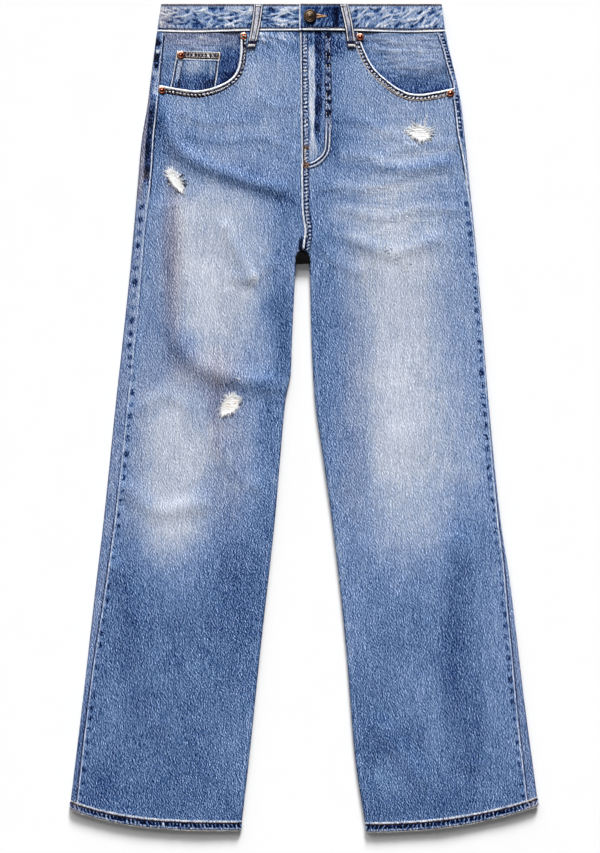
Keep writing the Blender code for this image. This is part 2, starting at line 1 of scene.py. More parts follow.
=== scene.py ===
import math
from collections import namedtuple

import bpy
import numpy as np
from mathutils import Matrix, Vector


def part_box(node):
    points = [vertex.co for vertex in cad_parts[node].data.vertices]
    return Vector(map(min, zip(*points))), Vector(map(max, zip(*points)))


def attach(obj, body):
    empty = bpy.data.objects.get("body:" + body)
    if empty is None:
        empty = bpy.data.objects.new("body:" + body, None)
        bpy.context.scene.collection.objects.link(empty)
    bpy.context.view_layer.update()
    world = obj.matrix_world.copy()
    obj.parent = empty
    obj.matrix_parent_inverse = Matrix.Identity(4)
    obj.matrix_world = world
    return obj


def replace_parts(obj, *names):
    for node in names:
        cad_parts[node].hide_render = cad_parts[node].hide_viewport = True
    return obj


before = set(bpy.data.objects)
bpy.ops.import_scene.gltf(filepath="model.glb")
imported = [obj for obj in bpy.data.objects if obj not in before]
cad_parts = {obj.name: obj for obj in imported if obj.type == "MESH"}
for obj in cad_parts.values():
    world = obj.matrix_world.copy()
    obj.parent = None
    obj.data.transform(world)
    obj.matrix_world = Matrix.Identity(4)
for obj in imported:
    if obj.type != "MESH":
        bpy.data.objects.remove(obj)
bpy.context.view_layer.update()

# Ripped blue jeans laid flat with the front up: the cloth, threads, metal, floor, light and camera.
#
# +Y runs from the hems to the waist and +Z is up. Right and left are the wearer's, so the right leg
# is on the -X side. Sizes are in millimetres until a mesh is made. A place on the cloth is given as
# its drop below the top of the waist and its distance out from the middle, on its own side.

MM = 0.001


def rows_of(kind, *rows):
    return tuple(kind(*row) for row in rows)


# The garment's form, as in its CAD source.

LENGTH = 1060.0
WALL = 1.1
GAP = 0.3
WAIST = 35.0
CROTCH = 315.0
ARCH_RISE = 12.0
ROLL = 4.5
ROLL_ARC = 6.0
TIP_TURN = math.radians(3)
TIP_ARC = 0.2
HIP_TOP = 7.2
LEG_TOP = 6.0
HIP_UNDER = 1.5
FLY_END = 172.0
FLY_RAISE = 0.7
FLY_LAP = 18.0
BAND_WALL = 2.4
BAND_TOP = 7.4
BAND_RAISE = 2.1
BAND_SINK = 0.6
BAND_ENDS = {"left": -6.7, "right": -30.0}
FACING_SINK = WALL + GAP
FACING_REACH = 12.0
FACING_FOOT = 140.0
FACING_RAMP = (14.0, 36.0)
CENTRE_TOP = 5.4
CENTRE_CROTCH = 2.0
YOKE = 66.0
YOKE_DIP = 30.0
WAIST_SAG = 2.5
COIN_LIFT = 0.5
TRIM_WALL = 1.2

Edge = namedtuple("Edge", "drop right left")
SIDE_EDGE = rows_of(
    Edge,
    (0, 183.4, 176.3), (36, 188.7, 181.1), (98, 196.9, 195.0), (124, 200.0, 200.6),
    (175, 208.3, 206.4), (226, 212.8, 211.3), (328, 221.8, 221.5), (431, 232.6, 230.0),
    (507, 241.0, 236.0), (661, 257.0, 251.5), (738, 266.2, 263.4), (892, 283.8, 282.0),
    (1026, 300.0, 300.0),
)
INNER_EDGE = rows_of(
    Edge,
    (327, 9.6, 5.7), (354, 11.8, 7.4), (431, 15.7, 9.3), (470, 17.0, 11.2), (507, 24.0, 13.8),
    (584, 31.0, 24.6), (661, 37.7, 35.5), (815, 54.8, 52.8), (968, 70.8, 65.6), (1060, 81.5, 79.8),
)
SEAM_OFFSET = rows_of(
    Edge,
    (35, 7.7, 6.4), (66, 8.7, 3.0), (98, 10.0, 3.2), (124, 11.0, 7.7), (157, 13.0, 7.7),
    (213, 15.0, 3.2), (300, 13.0, 1.4), (430, 15.0, 1.2), (540, 15.6, 2.0), (680, 14.5, 3.8),
    (768, 12.4, 7.7), (860, 8.6, 9.8), (937, 8.0, 12.2), (1033, 9.0, 14.0),
)

Leg = namedtuple("Leg", "name sign hem hem_lift hem_power fly_lap")
RIGHT = Leg("right", -1, 1058.0, 27.0, 3.2, FLY_LAP)
LEFT = Leg("left", 1, 1060.0, 33.4, 2.3, 0.0)
LEGS = (RIGHT, LEFT)

Place = namedtuple("Place", "out drop")
MOUTH = {
    "right": rows_of(
        Place,
        (81.0, 34.0), (82.2, 69.8), (88.6, 90.2), (105.3, 103.0), (132.2, 110.7), (155.2, 109.4),
        (190.0, 103.4),
    ),
    "left": rows_of(
        Place,
        (67.0, 34.0), (72.6, 49.3), (84.2, 74.9), (99.5, 92.8), (125.1, 111.0), (150.7, 115.8),
        (198.0, 106.5),
    ),
}
COIN_TOP = (Place(106.6, 61.4), Place(162.9, 59.5))
COIN_FOOT = (113.0, 171.8)
BACK_POCKET = rows_of(
    Place,
    (30, 122), (172, 118), (160, 262), (98, 288), (38, 266),
)

Fold = namedtuple("Fold", "height width line")
FOLDS = rows_of(
    Fold,
    (2.6, 10, ((-191, 124), (-165, 180), (-133, 204), (-82, 224), (-31, 238))),
    (2.2, 13, ((-176, 262), (-172, 380), (-156, 440), (-120, 470), (-44, 488))),
    (1.8, 9, ((-101, 285), (-88, 312), (-70, 348))), (1.6, 9, ((100, 206), (135, 212), (178, 204))),
    (1.4, 10, ((60, 300), (110, 318), (168, 302))),
    (1.6, 12, ((-226, 620), (-190, 648), (-130, 640))),
    (2.0, 14, ((-236, 722), (-204, 831), (-185, 921))),
    (2.0, 14, ((199, 690), (206, 870), (215, 972))), (1.6, 12, ((97, 925), (148, 992))),
)

Rip = namedtuple("Rip", "name leg out drop length width tilt")
RIPS = rows_of(
    Rip,
    ("thigh", RIGHT, 164.8, 226.0, 36.0, 14.0, -32.0),
    ("knee", RIGHT, 95.0, 513.0, 36.0, 23.0, 38.0), ("hip", LEFT, 147.5, 165.0, 32.0, 22.0, 75.0),
)

LOOP_FOOT = 56.5
LOOP_START = 0.6
LOOP_ARCH = 0.6
FrontLoop = namedtuple("FrontLoop", "leg top_out foot_out top_width foot_width")
FRONT_LOOPS = rows_of(
    FrontLoop,
    (RIGHT, 58.6, 68.2, 13.0, 11.0), (LEFT, 50.9, 61.1, 12.0, 11.0),
)
BACK_LOOPS = {"right": -128.0, "left": 120.0, "centre": -4.0}
BACK_LOOP_WIDTH = 12.0

BUTTON_X = 7.4
BUTTON_DROP = 16.0

# What only the looks have.

HEM_SPAN = 230.0
HEM_ROLL = 12.0
FINE = 0.85  # cell of the narrow sewn strips
CELL = 3.0  # cell of the large panels
BACK_CELL = 5.0  # cell of the hidden ones

# Small creases between the large folds: height, half width, line in X and drop.
CREASES = rows_of(
    Fold,
    (0.5, 3.0, ((-66, 44), (-50, 48), (-30, 62), (-12, 84))),
    (0.5, 3.0, ((-60, 40), (-40, 42), (-16, 54))), (0.4, 2.5, ((-52, 60), (-34, 74), (-22, 96))),
    (-0.5, 4.0, ((-72, 62), (-60, 84), (-54, 110))), (0.5, 4.0, ((62, 66), (66, 92), (78, 116))),
    (0.5, 5.0, ((-160, 140), (-120, 152), (-80, 148))),
    (0.5, 5.0, ((-150, 166), (-110, 176), (-60, 170), (-20, 182))),
    (0.6, 6.0, ((-60, 120), (-36, 132), (-14, 130))),
    (0.6, 6.0, ((56, 146), (96, 158), (150, 190))),
    (0.6, 6.0, ((40, 190), (90, 196), (140, 182), (196, 178))),
    (0.7, 7.0, ((24, 232), (76, 236), (120, 226))),
    (0.6, 6.0, ((50, 262), (100, 274), (150, 262), (196, 264))),
    (0.7, 7.0, ((16, 300), (40, 330), (70, 344))), (0.7, 6.0, ((-24, 262), (-44, 290), (-56, 330))),
    (0.8, 7.0, ((-40, 330), (-66, 352), (-92, 350))),
    (0.8, 9.0, ((-214, 520), (-180, 500), (-150, 516))),
    (0.9, 10.0, ((-110, 560), (-84, 604), (-60, 618))),
    (0.8, 10.0, ((-240, 800), (-216, 846), (-222, 900))),
    (0.8, 10.0, ((-120, 760), (-104, 820), (-112, 900))),
    (0.8, 9.0, ((40, 500), (56, 560), (52, 620))), (0.8, 9.0, ((200, 430), (190, 520), (200, 600))),
    (0.9, 10.0, ((80, 700), (96, 780), (88, 860))),
    (0.8, 10.0, ((150, 760), (160, 850), (148, 930))),
    (0.8, 9.0, ((240, 760), (250, 860), (262, 950))),
)

# Where the indigo has worn off or stayed, on the front and on the back, and in a few places the
# painted shade of a fold. Each is an oval with a soft edge: its middle in X and drop, half sizes,
# turn and how much lighter it is.
Fade = namedtuple("Fade", "x drop half_x half_drop turn amount")
BASE_TONE = (
    (35, 0.55), (120, 0.55), (300, 0.54), (500, 0.51), (610, 0.48), (690, 0.43), (730, 0.40),
    (900, 0.40), (1060, 0.385),
)
FRONT_FADES = rows_of(
    Fade,
    # the right leg, thigh and knee
    (-106, 345, 52, 120, 0, 0.21), (-140, 345, 24, 80, -4, 0.08), (-152, 268, 14, 30, 0, 0.06),
    (-164, 590, 46, 106, 0, 0.23), (-112, 600, 30, 90, 0, 0.04), (-214, 655, 30, 60, 4, 0.05),
    (-30, 360, 12, 90, 0, -0.09), (-24, 450, 12, 60, 0, -0.10), (-62, 560, 14, 60, 0, 0.07),
    (-54, 100, 30, 26, 0, 0.07), (-176, 690, 22, 24, 0, 0.05), (-60, 240, 60, 24, 12, -0.02),
    (-170, 170, 40, 50, 0, -0.04), (-96, 170, 60, 40, 0, -0.02), (-16, 275, 22, 50, 0, -0.08),
    (-128, 305, 14, 34, 0, -0.05), (-46, 555, 14, 40, 0, -0.07), (-46, 390, 12, 14, 0, -0.07),
    (-149, 134, 14, 14, 0, 0.05), (-84, 600, 16, 70, 0, 0.06), (-70, 645, 16, 34, 0, 0.05),
    (-178, 700, 44, 60, 0, 0.07), (-240, 655, 14, 34, 0, 0.05), (-240, 912, 16, 44, 0, 0.05),
    (-160, 560, 30, 60, 0, 0.04), (-112, 510, 10, 50, 0, -0.05), (-190, 150, 12, 60, 0, -0.12),
    (-110, 490, 60, 18, 0, -0.04), (-120, 530, 44, 24, 0, -0.03), (-218, 490, 20, 60, 0, 0.01),
    (-160, 445, 16, 26, 40, -0.05), (-172, 330, 8, 70, 0, -0.07),
    # the right leg below the knee
    (-224, 740, 16, 130, 0, -0.05), (-150, 720, 30, 70, 0, 0.02), (-262, 800, 16, 140, 4, 0.02),
    (-84, 760, 20, 60, 0, -0.04), (-64, 640, 30, 60, 0, -0.04), (-86, 960, 30, 60, 0, 0.05),
    # the left leg
    (120, 420, 56, 170, 0, 0.22), (128, 290, 60, 60, 0, 0.06), (136, 620, 66, 120, 0, 0.15),
    (204, 560, 24, 110, 0, 0.07), (218, 590, 14, 50, 0, 0.05), (56, 755, 26, 90, 0, 0.06),
    (180, 960, 20, 50, 0, 0.05), (268, 950, 14, 50, 0, 0.05), (97, 298, 14, 10, 0, -0.05),
    (35, 52, 14, 14, 0, -0.12), (76, 556, 12, 60, 0, -0.06), (218, 930, 12, 70, 0, -0.07),
    (52, 430, 14, 60, 0, -0.06), (24, 380, 18, 170, 0, -0.06), (150, 168, 50, 28, 0, 0.08),
    (24, 120, 22, 60, 0, -0.09), (24, 50, 40, 18, 0, -0.18), (36, 174, 8, 24, 0, -0.06),
    (130, 120, 50, 12, 0, 0.02), (130, 800, 110, 170, 0, 0.035), (158, 915, 36, 50, 0, 0.07),
    (194, 800, 16, 170, 3, -0.11), (108, 940, 30, 34, 20, -0.05), (256, 740, 20, 240, 4, 0.08),
    # the last oval on the next line, at (-68, 214), is painted shade under the right thigh's fold
    (-56, 52, 16, 12, 0, -0.05), (44, 172, 18, 26, 0, -0.09), (-68, 214, 28, 12, 14, -0.09),
    (148, 298, 24, 16, 0, -0.06), (-87, 318, 16, 16, 0, -0.05), (76, 420, 16, 40, 0, -0.06),
    (-46, 400, 14, 34, 0, -0.05), (-46, 523, 14, 24, 0, -0.06), (-149, 441, 14, 16, 0, -0.07),
    (56, 564, 12, 22, 0, -0.07), (-128, 625, 14, 16, 0, -0.05), (-26, 288, 14, 34, 0, 0.06),
    (-46, 165, 14, 18, 0, 0.05), (-77, 359, 16, 12, 0, 0.05), (-98, 543, 18, 14, 0, 0.07),
    (-170, 666, 50, 30, 0, 0.04), (35, 700, 14, 44, 0, 0.08), (56, 810, 14, 20, 0, 0.05),
    (220, 758, 28, 36, 0, 0.055), (210, 390, 16, 18, 0, 0.05), (281, 953, 12, 30, 0, 0.06),
    (108, 985, 20, 22, 0, 0.055), (148, 944, 24, 26, 0, -0.05), (-264, 1010, 18, 26, 0, -0.06),
    (64, 268, 26, 16, 0, 0.045), (-108, 472, 12, 20, 0, 0.04), (-200, 522, 20, 30, 0, 0.04),
    (138, 680, 32, 36, 0, 0.035), (15, 420, 8, 30, 0, -0.05), (-26, 424, 8, 14, 0, -0.04),
)
# Shade and light along lines: here a fold's height is how much lighter the cloth is.
FRONT_STREAKS = rows_of(
    Fold,
    # shade under and light on the large folds
    (-0.07, 15, ((-126, 206), (-98, 218), (-66, 230), (-24, 246))),
    (-0.09, 7, ((-104, 222), (-68, 234), (-38, 245), (-14, 254))),
    (-0.06, 9, ((-186, 150), (-166, 186), (-138, 208), (-110, 216))),
    (-0.06, 13, ((-176, 420), (-150, 462), (-110, 486), (-56, 492))),
    (-0.06, 7, ((-84, 346), (-76, 362), (-58, 362))),
    (0.06, 5, ((-62, 350), (-68, 362), (-76, 372))),
    # whiskers
    (0.05, 5, ((-150, 152), (-100, 162), (-50, 154))),
    (-0.05, 5, ((-150, 172), (-100, 180), (-40, 176))),
    (-0.04, 4, ((40, 150), (80, 154), (120, 150))), (0.04, 4, ((44, 160), (90, 164), (128, 160))),
    (0.06, 5, ((50, 192), (110, 200), (190, 186))), (-0.06, 5, ((40, 206), (110, 212), (190, 202))),
    (0.06, 5, ((40, 230), (100, 236), (180, 222))), (-0.05, 5, ((50, 250), (110, 256), (180, 244))),
    (0.06, 4, ((30, 290), (70, 296), (110, 286))), (-0.05, 5, ((30, 302), (80, 312), (130, 304))),
)
# Where the fabric has greyed or browned rather than faded, and where brown painted shade lies
# along the folds of the right thigh and knee.
WARM_FADES = rows_of(
    Fade,
    (-168, 320, 12, 110, 0, 0.33), (-130, 470, 40, 24, 20, 0.20), (-112, 515, 12, 60, 0, 0.16),
    (-96, 560, 22, 120, 0, 0.12), (-120, 350, 60, 120, 0, 0.06), (-164, 590, 50, 110, 0, 0.08),
    (120, 440, 60, 200, 0, 0.06), (70, 420, 16, 160, 0, 0.05), (-212, 560, 12, 160, 6, 0.07),
    (60, 560, 16, 120, 0, 0.05), (-70, 214, 60, 16, 14, 0.05),
)
# Where fine creases run from side to side: the lap of worn jeans.
LAP_FADES = rows_of(
    Fade,
    (-100, 190, 90, 90, 0, 0.7), (110, 220, 90, 110, 0, 1.0), (-70, 470, 90, 60, 0, 0.5),
    (120, 500, 90, 60, 0, 0.3),
)
BACK_FADES = rows_of(
    Fade,
    (-110, 210, 80, 90, 0, 0.14), (110, 210, 80, 90, 0, 0.14), (-120, 440, 60, 120, 0, 0.08),
    (120, 440, 60, 120, 0, 0.08), (-150, 620, 60, 80, 0, 0.06), (150, 620, 60, 80, 0, 0.06),
    (-14, 300, 30, 120, 0, -0.08), (14, 300, 30, 120, 0, -0.08),
)
FACING_FADES = {
    "right": rows_of(
        Fade,
        (-120, 48, 60, 12, 0, 0.04), (-160, 70, 34, 30, 0, 0.01), (-98, 82, 15, 26, -10, -0.25),
        (-120, 96, 50, 10, 0, -0.10),
    ),
    "left": rows_of(
        Fade,
        (124, 58, 60, 26, 0, 0.12), (150, 106, 44, 12, 6, -0.18), (94, 66, 10, 30, -34, -0.10),
    ),
}


def smooth_step(value, start, end):
    t = np.clip((value - start) / (end - start), 0, 1)
    return t * t * (3 - 2 * t)


def step_down(value, start, end):
    return 1 - smooth_step(value, start, end)


def stacked(*values):
    return np.stack(np.broadcast_arrays(*values), axis=-1)


def bump(value, middle, width, power=2):
    """1 at the middle and 0 well away from it."""
    return np.exp(-(((value - middle) / width) ** power))


def blend(a, b, share):
    return a * (1 - share) + share * b


def layered(tone, *layers):
    """A tone under layers, each given as how much of it shows and its own tone."""
    for share, other in layers:
        tone = blend(tone, other, share)
    return tone


def profile(distances, points):
    return np.interp(distances, *zip(*points))


def turned(x, y, degrees):
    turn = math.radians(degrees)
    return x * math.cos(turn) + y * math.sin(turn), y * math.cos(turn) - x * math.sin(turn)


def read(table, leg, drop):
    """A column of a table at any drop, as a smooth curve that doesn't swing past its rows."""
    xs = np.array([row.drop for row in table], float)
    ys = np.array([getattr(row, leg.name) for row in table], float)
    gap = np.diff(xs)
    slope = np.diff(ys) / gap
    turns = slope[:-1] * slope[1:] <= 0
    mean = 2 * slope[:-1] * slope[1:] / np.where(turns, 1, slope[:-1] + slope[1:])
    tangent = np.concatenate([slope[:1], np.where(turns, 0, mean), slope[-1:]])
    drop = np.clip(drop, xs[0], xs[-1])
    i = np.clip(np.searchsorted(xs, drop) - 1, 0, len(gap) - 1)
    t = (drop - xs[i]) / gap[i]
    ends = (1 + 2 * t) * (1 - t) ** 2 * ys[i] + t * t * (3 - 2 * t) * ys[i + 1]
    bends = t * (1 - t) ** 2 * tangent[i] - t * t * (1 - t) * tangent[i + 1]
    return ends + gap[i] * bends


def curve_through(points, steps):
    """A Catmull-Rom curve through the points, with this many steps between two of them."""
    points = np.array(points, float)
    ends = 2 * points[[0, -1]] - points[[1, -2]]
    points = np.concatenate([ends[:1], points, ends[1:]])
    t = (np.arange(steps) / steps)[:, None]
    spans = []
    for a, b, c, d in zip(points, points[1:], points[2:], points[3:]):
        square, cube = 2 * a - 5 * b + 4 * c - d, 3 * (b - c) + d - a
        spans.append(0.5 * (2 * b + (c - a) * t + square * t**2 + cube * t**3))
    return np.concatenate([*spans, points[-2:-1]])


def nearest(line, across, along):
    """Distance from each place to a line of points, positive on its left, and the nearest place."""
    start, run = line[:-1], np.diff(line, axis=0)
    away = stacked(across, along)[..., None, :] - start
    t = np.clip((away * run).sum(-1) / (run * run).sum(-1), 0, 1)
    offset = away - t[..., None] * run
    distance = np.hypot(offset[..., 0], offset[..., 1])
    side = np.sign(run[..., 1] * away[..., 0] - run[..., 0] * away[..., 1])
    near = distance.argmin(-1)[..., None]
    pick = np.take_along_axis
    signed = (pick(distance, near, -1) * pick(side, near, -1))[..., 0]
    offset = pick(offset, near[..., None], -2)[..., 0, :]
    return signed, stacked(across, along) - offset


def signed_distance(line, across, along):
    return nearest(line, across, along)[0]


NOISE_CELLS = 97


def noise(x, y, size, seed):
    """Smooth random values from -1 to 1 that change over about this size."""
    table = np.random.default_rng(seed).uniform(-1, 1, (NOISE_CELLS, NOISE_CELLS))
    u, v = np.broadcast_arrays(np.asarray(x, float) / size, np.asarray(y, float) / size)
    i, j = np.floor(u).astype(int), np.floor(v).astype(int)
    s, t = smooth_step(u - i, 0, 1), smooth_step(v - j, 0, 1)
    i, j, right, up = (k % NOISE_CELLS for k in (i, j, i + 1, j + 1))
    low, high = (blend(table[i, k], table[right, k], s) for k in (j, up))
    return blend(low, high, t)


# The outline in plan.


def outer_edge(leg, drop):
    return read(SIDE_EDGE, leg, drop)


def centre_line(leg, drop):
    part = np.clip((drop - WAIST) / (CROTCH - WAIST), 0, 1)
    return -leg.sign * (CENTRE_TOP + (CENTRE_CROTCH - CENTRE_TOP) * part)


def inner_edge(leg, drop):
    """The middle line down to the crotch, then round the top of the gap and down the inseam."""
    centre = centre_line(leg, drop)
    gap = read(INNER_EDGE, leg, np.maximum(drop, CROTCH + ARCH_RISE))
    down = np.clip((drop - CROTCH) / ARCH_RISE, 0, 1)
    return centre + (gap - centre) * np.sqrt(1 - (1 - down) ** 2)


def edge_distance(leg, out, drop):
    """How far in from the nearest edge a place is, the middle line not counted."""
    top = CROTCH + ARCH_RISE
    centre = centre_line(leg, CROTCH)
    half = inner_edge(leg, np.array(top)) - centre
    across, above = out - centre, np.maximum(top - drop, 0.0)
    ring = np.maximum(np.hypot(across / half, above / ARCH_RISE), 1e-6)
    arch = (1 - 1 / ring) * np.hypot(across, above)
    gap = np.where(above > 0, arch, out - inner_edge(leg, drop))
    return np.clip(np.minimum(outer_edge(leg, drop) - out, gap), 0, None)


def reach(arc):
    """How far in from an edge a length of cloth comes, measured from the tip of the roll."""
    turn = np.clip(arc / ROLL_ARC, 0, 1) * math.pi / 2
    return ROLL * (1 - np.cos(turn)) + np.maximum(arc - ROLL_ARC, 0)


def arc_at(distance):
    turn = np.arccos(1 - np.clip(distance / ROLL, 0, 1))
    return ROLL_ARC * turn / (math.pi / 2) + np.maximum(distance - ROLL, 0)


# Heights.


def top_height(drop):
    return HIP_TOP + (LEG_TOP - HIP_TOP) * smooth_step(drop, 300, 420)


def under_height(drop):
    return HIP_UNDER * step_down(drop, 298, 335)


def ridges(folds, x, drop):
    height = np.zeros_like(x)
    for fold in folds:
        line = curve_through(fold.line, 4)
        height += fold.height * bump(signed_distance(line, x, drop), 0, fold.width)
    return height


def fly_height(leg, out, drop):
    from_centre = out - centre_line(leg, drop)
    start, end = (30, 70) if leg is LEFT else (6, 40)
    near = step_down(drop, FLY_END, FLY_END + 25) * step_down(from_centre, start, end)
    return leg.sign * FLY_RAISE * near


def band_height(leg, out, _drop):
    if leg is LEFT:
        return BAND_RAISE * step_down(out, 36, 75)
    return -BAND_SINK * step_down(out, 14, 45)


def surface(leg, out, drop, under=False, top=top_height, raised=None, folds=True):
    """Points on the outside of the cloth, and the way that it faces at each."""
    out, drop = np.broadcast_arrays(np.asarray(out, float), np.asarray(drop, float))
    turn = np.arccos(1 - np.minimum(edge_distance(leg, out, drop) / ROLL, 1))
    turn = np.maximum(turn, TIP_TURN)
    step = 0.05
    across = edge_distance(leg, out + step, drop) - edge_distance(leg, out - step, drop)
    along = edge_distance(leg, out, drop - step) - edge_distance(leg, out, drop + step)
    size = np.maximum(np.hypot(across, along), 1e-9)
    top_z = top(drop) if callable(top) else np.full_like(out, top)
    under_z = under_height(drop)
    middle, half = (top_z + under_z) / 2, (top_z - under_z) / 2
    rise = np.sin(turn)
    x = leg.sign * out
    if under:
        z = middle - half * rise
        if folds:
            z = z + under_troughs(x, drop) * rise
    else:
        lift = raised(leg, out, drop) if raised else np.zeros_like(out)
        if folds:
            lift = lift + ridges(FOLDS + CREASES, x, drop) + sag(x, drop)
        z = middle + half * rise + lift * rise
    points = stacked(x, LENGTH / 2 - drop, z)
    faces = np.stack(
        [
            -np.cos(turn) * across / size * leg.sign,
            -np.cos(turn) * along / size,
            -rise if under else rise,
        ],
        axis=-1,
    )
    return points, faces


def sag(x, drop):
    """Cloth that was worn never lies quite even."""
    return 0.32 * noise(x, drop, 46, 3) + 0.16 * noise(x, drop, 19, 4)


def under_troughs(x, drop):
    """Soft hollows in the underside, between broad flats that rest on the floor."""
    wide = np.clip(noise(x * 1.6, drop, 70, 5) - 0.25, 0, None)
    return 1.4 * wide * smooth_step(drop, 300, 380) * step_down(drop, 980, 1040)


def front_surface(leg, out, drop):
    return surface(leg, out, drop, raised=fly_height)


def mouth_line(leg):
    return curve_through(MOUTH[leg.name], 8)


def facing_surface(leg, out, drop):
    """Just below the front at the pocket mouth, and level with it at the side seam."""
    points, faces = surface(leg, out, drop)
    into = signed_distance(mouth_line(leg), out, drop)
    sink = FACING_SINK * step_down(into, *FACING_RAMP)
    return points - sink[..., None] * faces, faces


# Wear.


FADE_POWER, FADE_WEIGHT = 1.4, 0.7  # how flat the middle of a fade's oval is, and how small


def fade(x, drop, fades, streaks=()):
    """How light the cloth is, from 0, unworn indigo, to 1, white."""
    x, drop = np.broadcast_arrays(np.asarray(x, float), np.asarray(drop, float))
    tone = profile(drop, BASE_TONE)
    for f in fades:
        u, v = turned(x - f.x, drop - f.drop, f.turn)
        u, v = u / f.half_x, v / f.half_drop
        tone = tone + f.amount * np.exp(-((u * u + v * v) ** FADE_POWER) * FADE_WEIGHT)
    return tone + ridges(streaks, x, drop)


def front_tone(x, drop):
    tone = fade(x, drop, FRONT_FADES, FRONT_STREAKS)
    return tone + 0.022 * noise(x, drop, 24, 11) + 0.018 * noise(x * 2.2, drop, 11, 12)


def back_tone(x, drop):
    return fade(x, drop, BACK_FADES) - 0.05 + 0.03 * noise(x, drop, 26, 13)


def above_base(x, drop, fades):
    return fade(x, drop, fades) - fade(x, drop, ())


def front_warm(x, drop):
    return np.clip(above_base(x, drop, WARM_FADES), 0, 1)


def band(value, middle, half, soft=0.5):
    """1 inside a band and 0 outside it."""
    return 1 - smooth_step(np.abs(value - middle), half - soft / 2, half + soft / 2)


def teeth(along, across, pitch, slant, seed, sharp=2.5):
    """Uneven slanted ribs across a seam, from -1 to 1."""
    phase = (along + slant * across) / pitch + 0.5 * noise(along, across, pitch * 2.2, seed)
    wave = np.sin(2 * math.pi * phase) * sharp
    return np.tanh(wave + 0.8 * noise(along, across, pitch * 0.8, seed + 1))


def blots(along, pitch, half, seed):
    """Uneven spots along a line, from 0 to 1."""
    phase = along / pitch + 0.3 * noise(along, 0, pitch * 1.7, seed)
    off = (phase - np.round(phase)) * pitch / half
    return np.exp(-(off**4)) * np.clip(0.95 + 0.7 * noise(along, 0, pitch * 1.1, seed + 1), 0.2, 1)


def strokes(x, drop, seed, count, box, lean, half, width):
    """Short thin strokes scattered over a box (low x, high x, low drop, high drop), from 0 to 1.

    lean is their usual angle and how far it varies, half the shortest and longest half length.
    """
    random = np.random.default_rng(seed)
    shade = np.zeros(np.shape(x))
    for _ in range(count):
        degrees = random.normal(*lean)
        away = x - random.uniform(*box[:2]), drop - random.uniform(*box[2:])
        u, v = turned(*away, degrees)
        u = u / random.uniform(*half)
        v = v / width + 0.5 * u * u
        shade = np.maximum(shade, random.uniform(0.4, 1.0) * np.exp(-(v**2) - u**4))
    return shade


# Materials.

EYE_GAMMA = 2.2


class Look:
    """A material, with short calls to add to its node tree."""

    def __init__(self, name, **values):
        self.made = bpy.data.materials.new(name)
        self.made.use_nodes = True
        self.tree = self.made.node_tree
        self.shader = self.tree.nodes["Principled BSDF"]
        for socket, value in values.items():
            self.shader.inputs[socket.replace("_", " ")].default_value = value

    def put(self, socket, value):
        if isinstance(value, bpy.types.NodeSocket):
            self.tree.links.new(value, socket)
        else:
            socket.default_value = value

    def add(self, kind, inputs, **settings):
        node = self.tree.nodes.new("ShaderNode" + kind)
        for key, value in settings.items():
            setattr(node, key, value)
        for key, value in inputs.items():
            self.put(node.inputs[key], value)
        return node

    def math(self, operation, a, b, c=0.0, clamp=False):
        inputs = {0: a, 1: b, 2: c}
        return self.add("Math", inputs, operation=operation, use_clamp=clamp).outputs[0]

    def vector(self, operation, a, b):
        return self.add("VectorMath", {0: a, 1: b}, operation=operation).outputs[0]

    def sum(self, first, *others):
        for other in others:
            first = self.math("ADD", first, other)
        return first

    def times(self, a, b):
        return self.math("MULTIPLY", a, b)

    def scaled(self, value, factor, offset):
        return self.math("MULTIPLY_ADD", value, factor, offset)

    def about(self, value, amount):
        """A noise from 0 to 1 turned into one about 0."""
        return self.scaled(value, amount, -amount / 2)

    def attribute(self, name):
        return self.add("Attribute", {}, attribute_name=name).outputs["Fac"]

    def place(self, *scale, turn=0.0):
        """The object's own coordinates in millimetres, turned and stretched by these factors."""
        where = self.add("TexCoord", {}).outputs["Object"]
        if turn:
            spin = {"Vector": where, "Rotation": (0.0, 0.0, math.radians(turn))}
            where = self.add("Mapping", spin).outputs[0]
        return self.vector("MULTIPLY", where, tuple(value / MM for value in scale))

    def noise(self, scale, detail=2.0, roughness=0.6, distortion=0.0, turn=0.0):
        values = {
            "Vector": self.place(*scale, turn=turn),
            "Scale": 1.0,
            "Detail": detail,
            "Roughness": roughness,
            "Distortion": distortion,
        }
        return self.add("TexNoise", values).outputs["Fac"]

    def ramp(self, value, stops):
        node = self.add("ValToRGB", {"Fac": value})
        elements = node.color_ramp.elements
        while len(elements) < len(stops):
            elements.new(0.5)
        for element, (place, colour) in zip(elements, stops):
            element.position = place
            element.color = (*colour, 1.0)
        return node.outputs["Color"]

    def mix(self, factor, a, b):
        return self.add("Mix", {"Factor": factor, 6: a, 7: b}, data_type="RGBA").outputs[2]

    def lighten(self, colour, amount):
        """Adds the same amount to red, green and blue as the eye sees them."""
        seen = self.add("Gamma", {"Color": colour, "Gamma": 1 / EYE_GAMMA}).outputs[0]
        kept = self.vector("MAXIMUM", self.vector("ADD", seen, amount), (0.0, 0.0, 0.0))
        return self.add("Gamma", {"Color": kept, "Gamma": EYE_GAMMA}).outputs[0]

    def finish(self, colour, roughness, height, depth, strength=1.0):
        bumps = {"Height": height, "Distance": depth * MM, "Strength": strength}
        self.put(self.shader.inputs["Base Color"], colour)
        self.put(self.shader.inputs["Roughness"], roughness)
        self.put(self.shader.inputs["Normal"], self.add("Bump", bumps).outputs["Normal"])
        return self.made


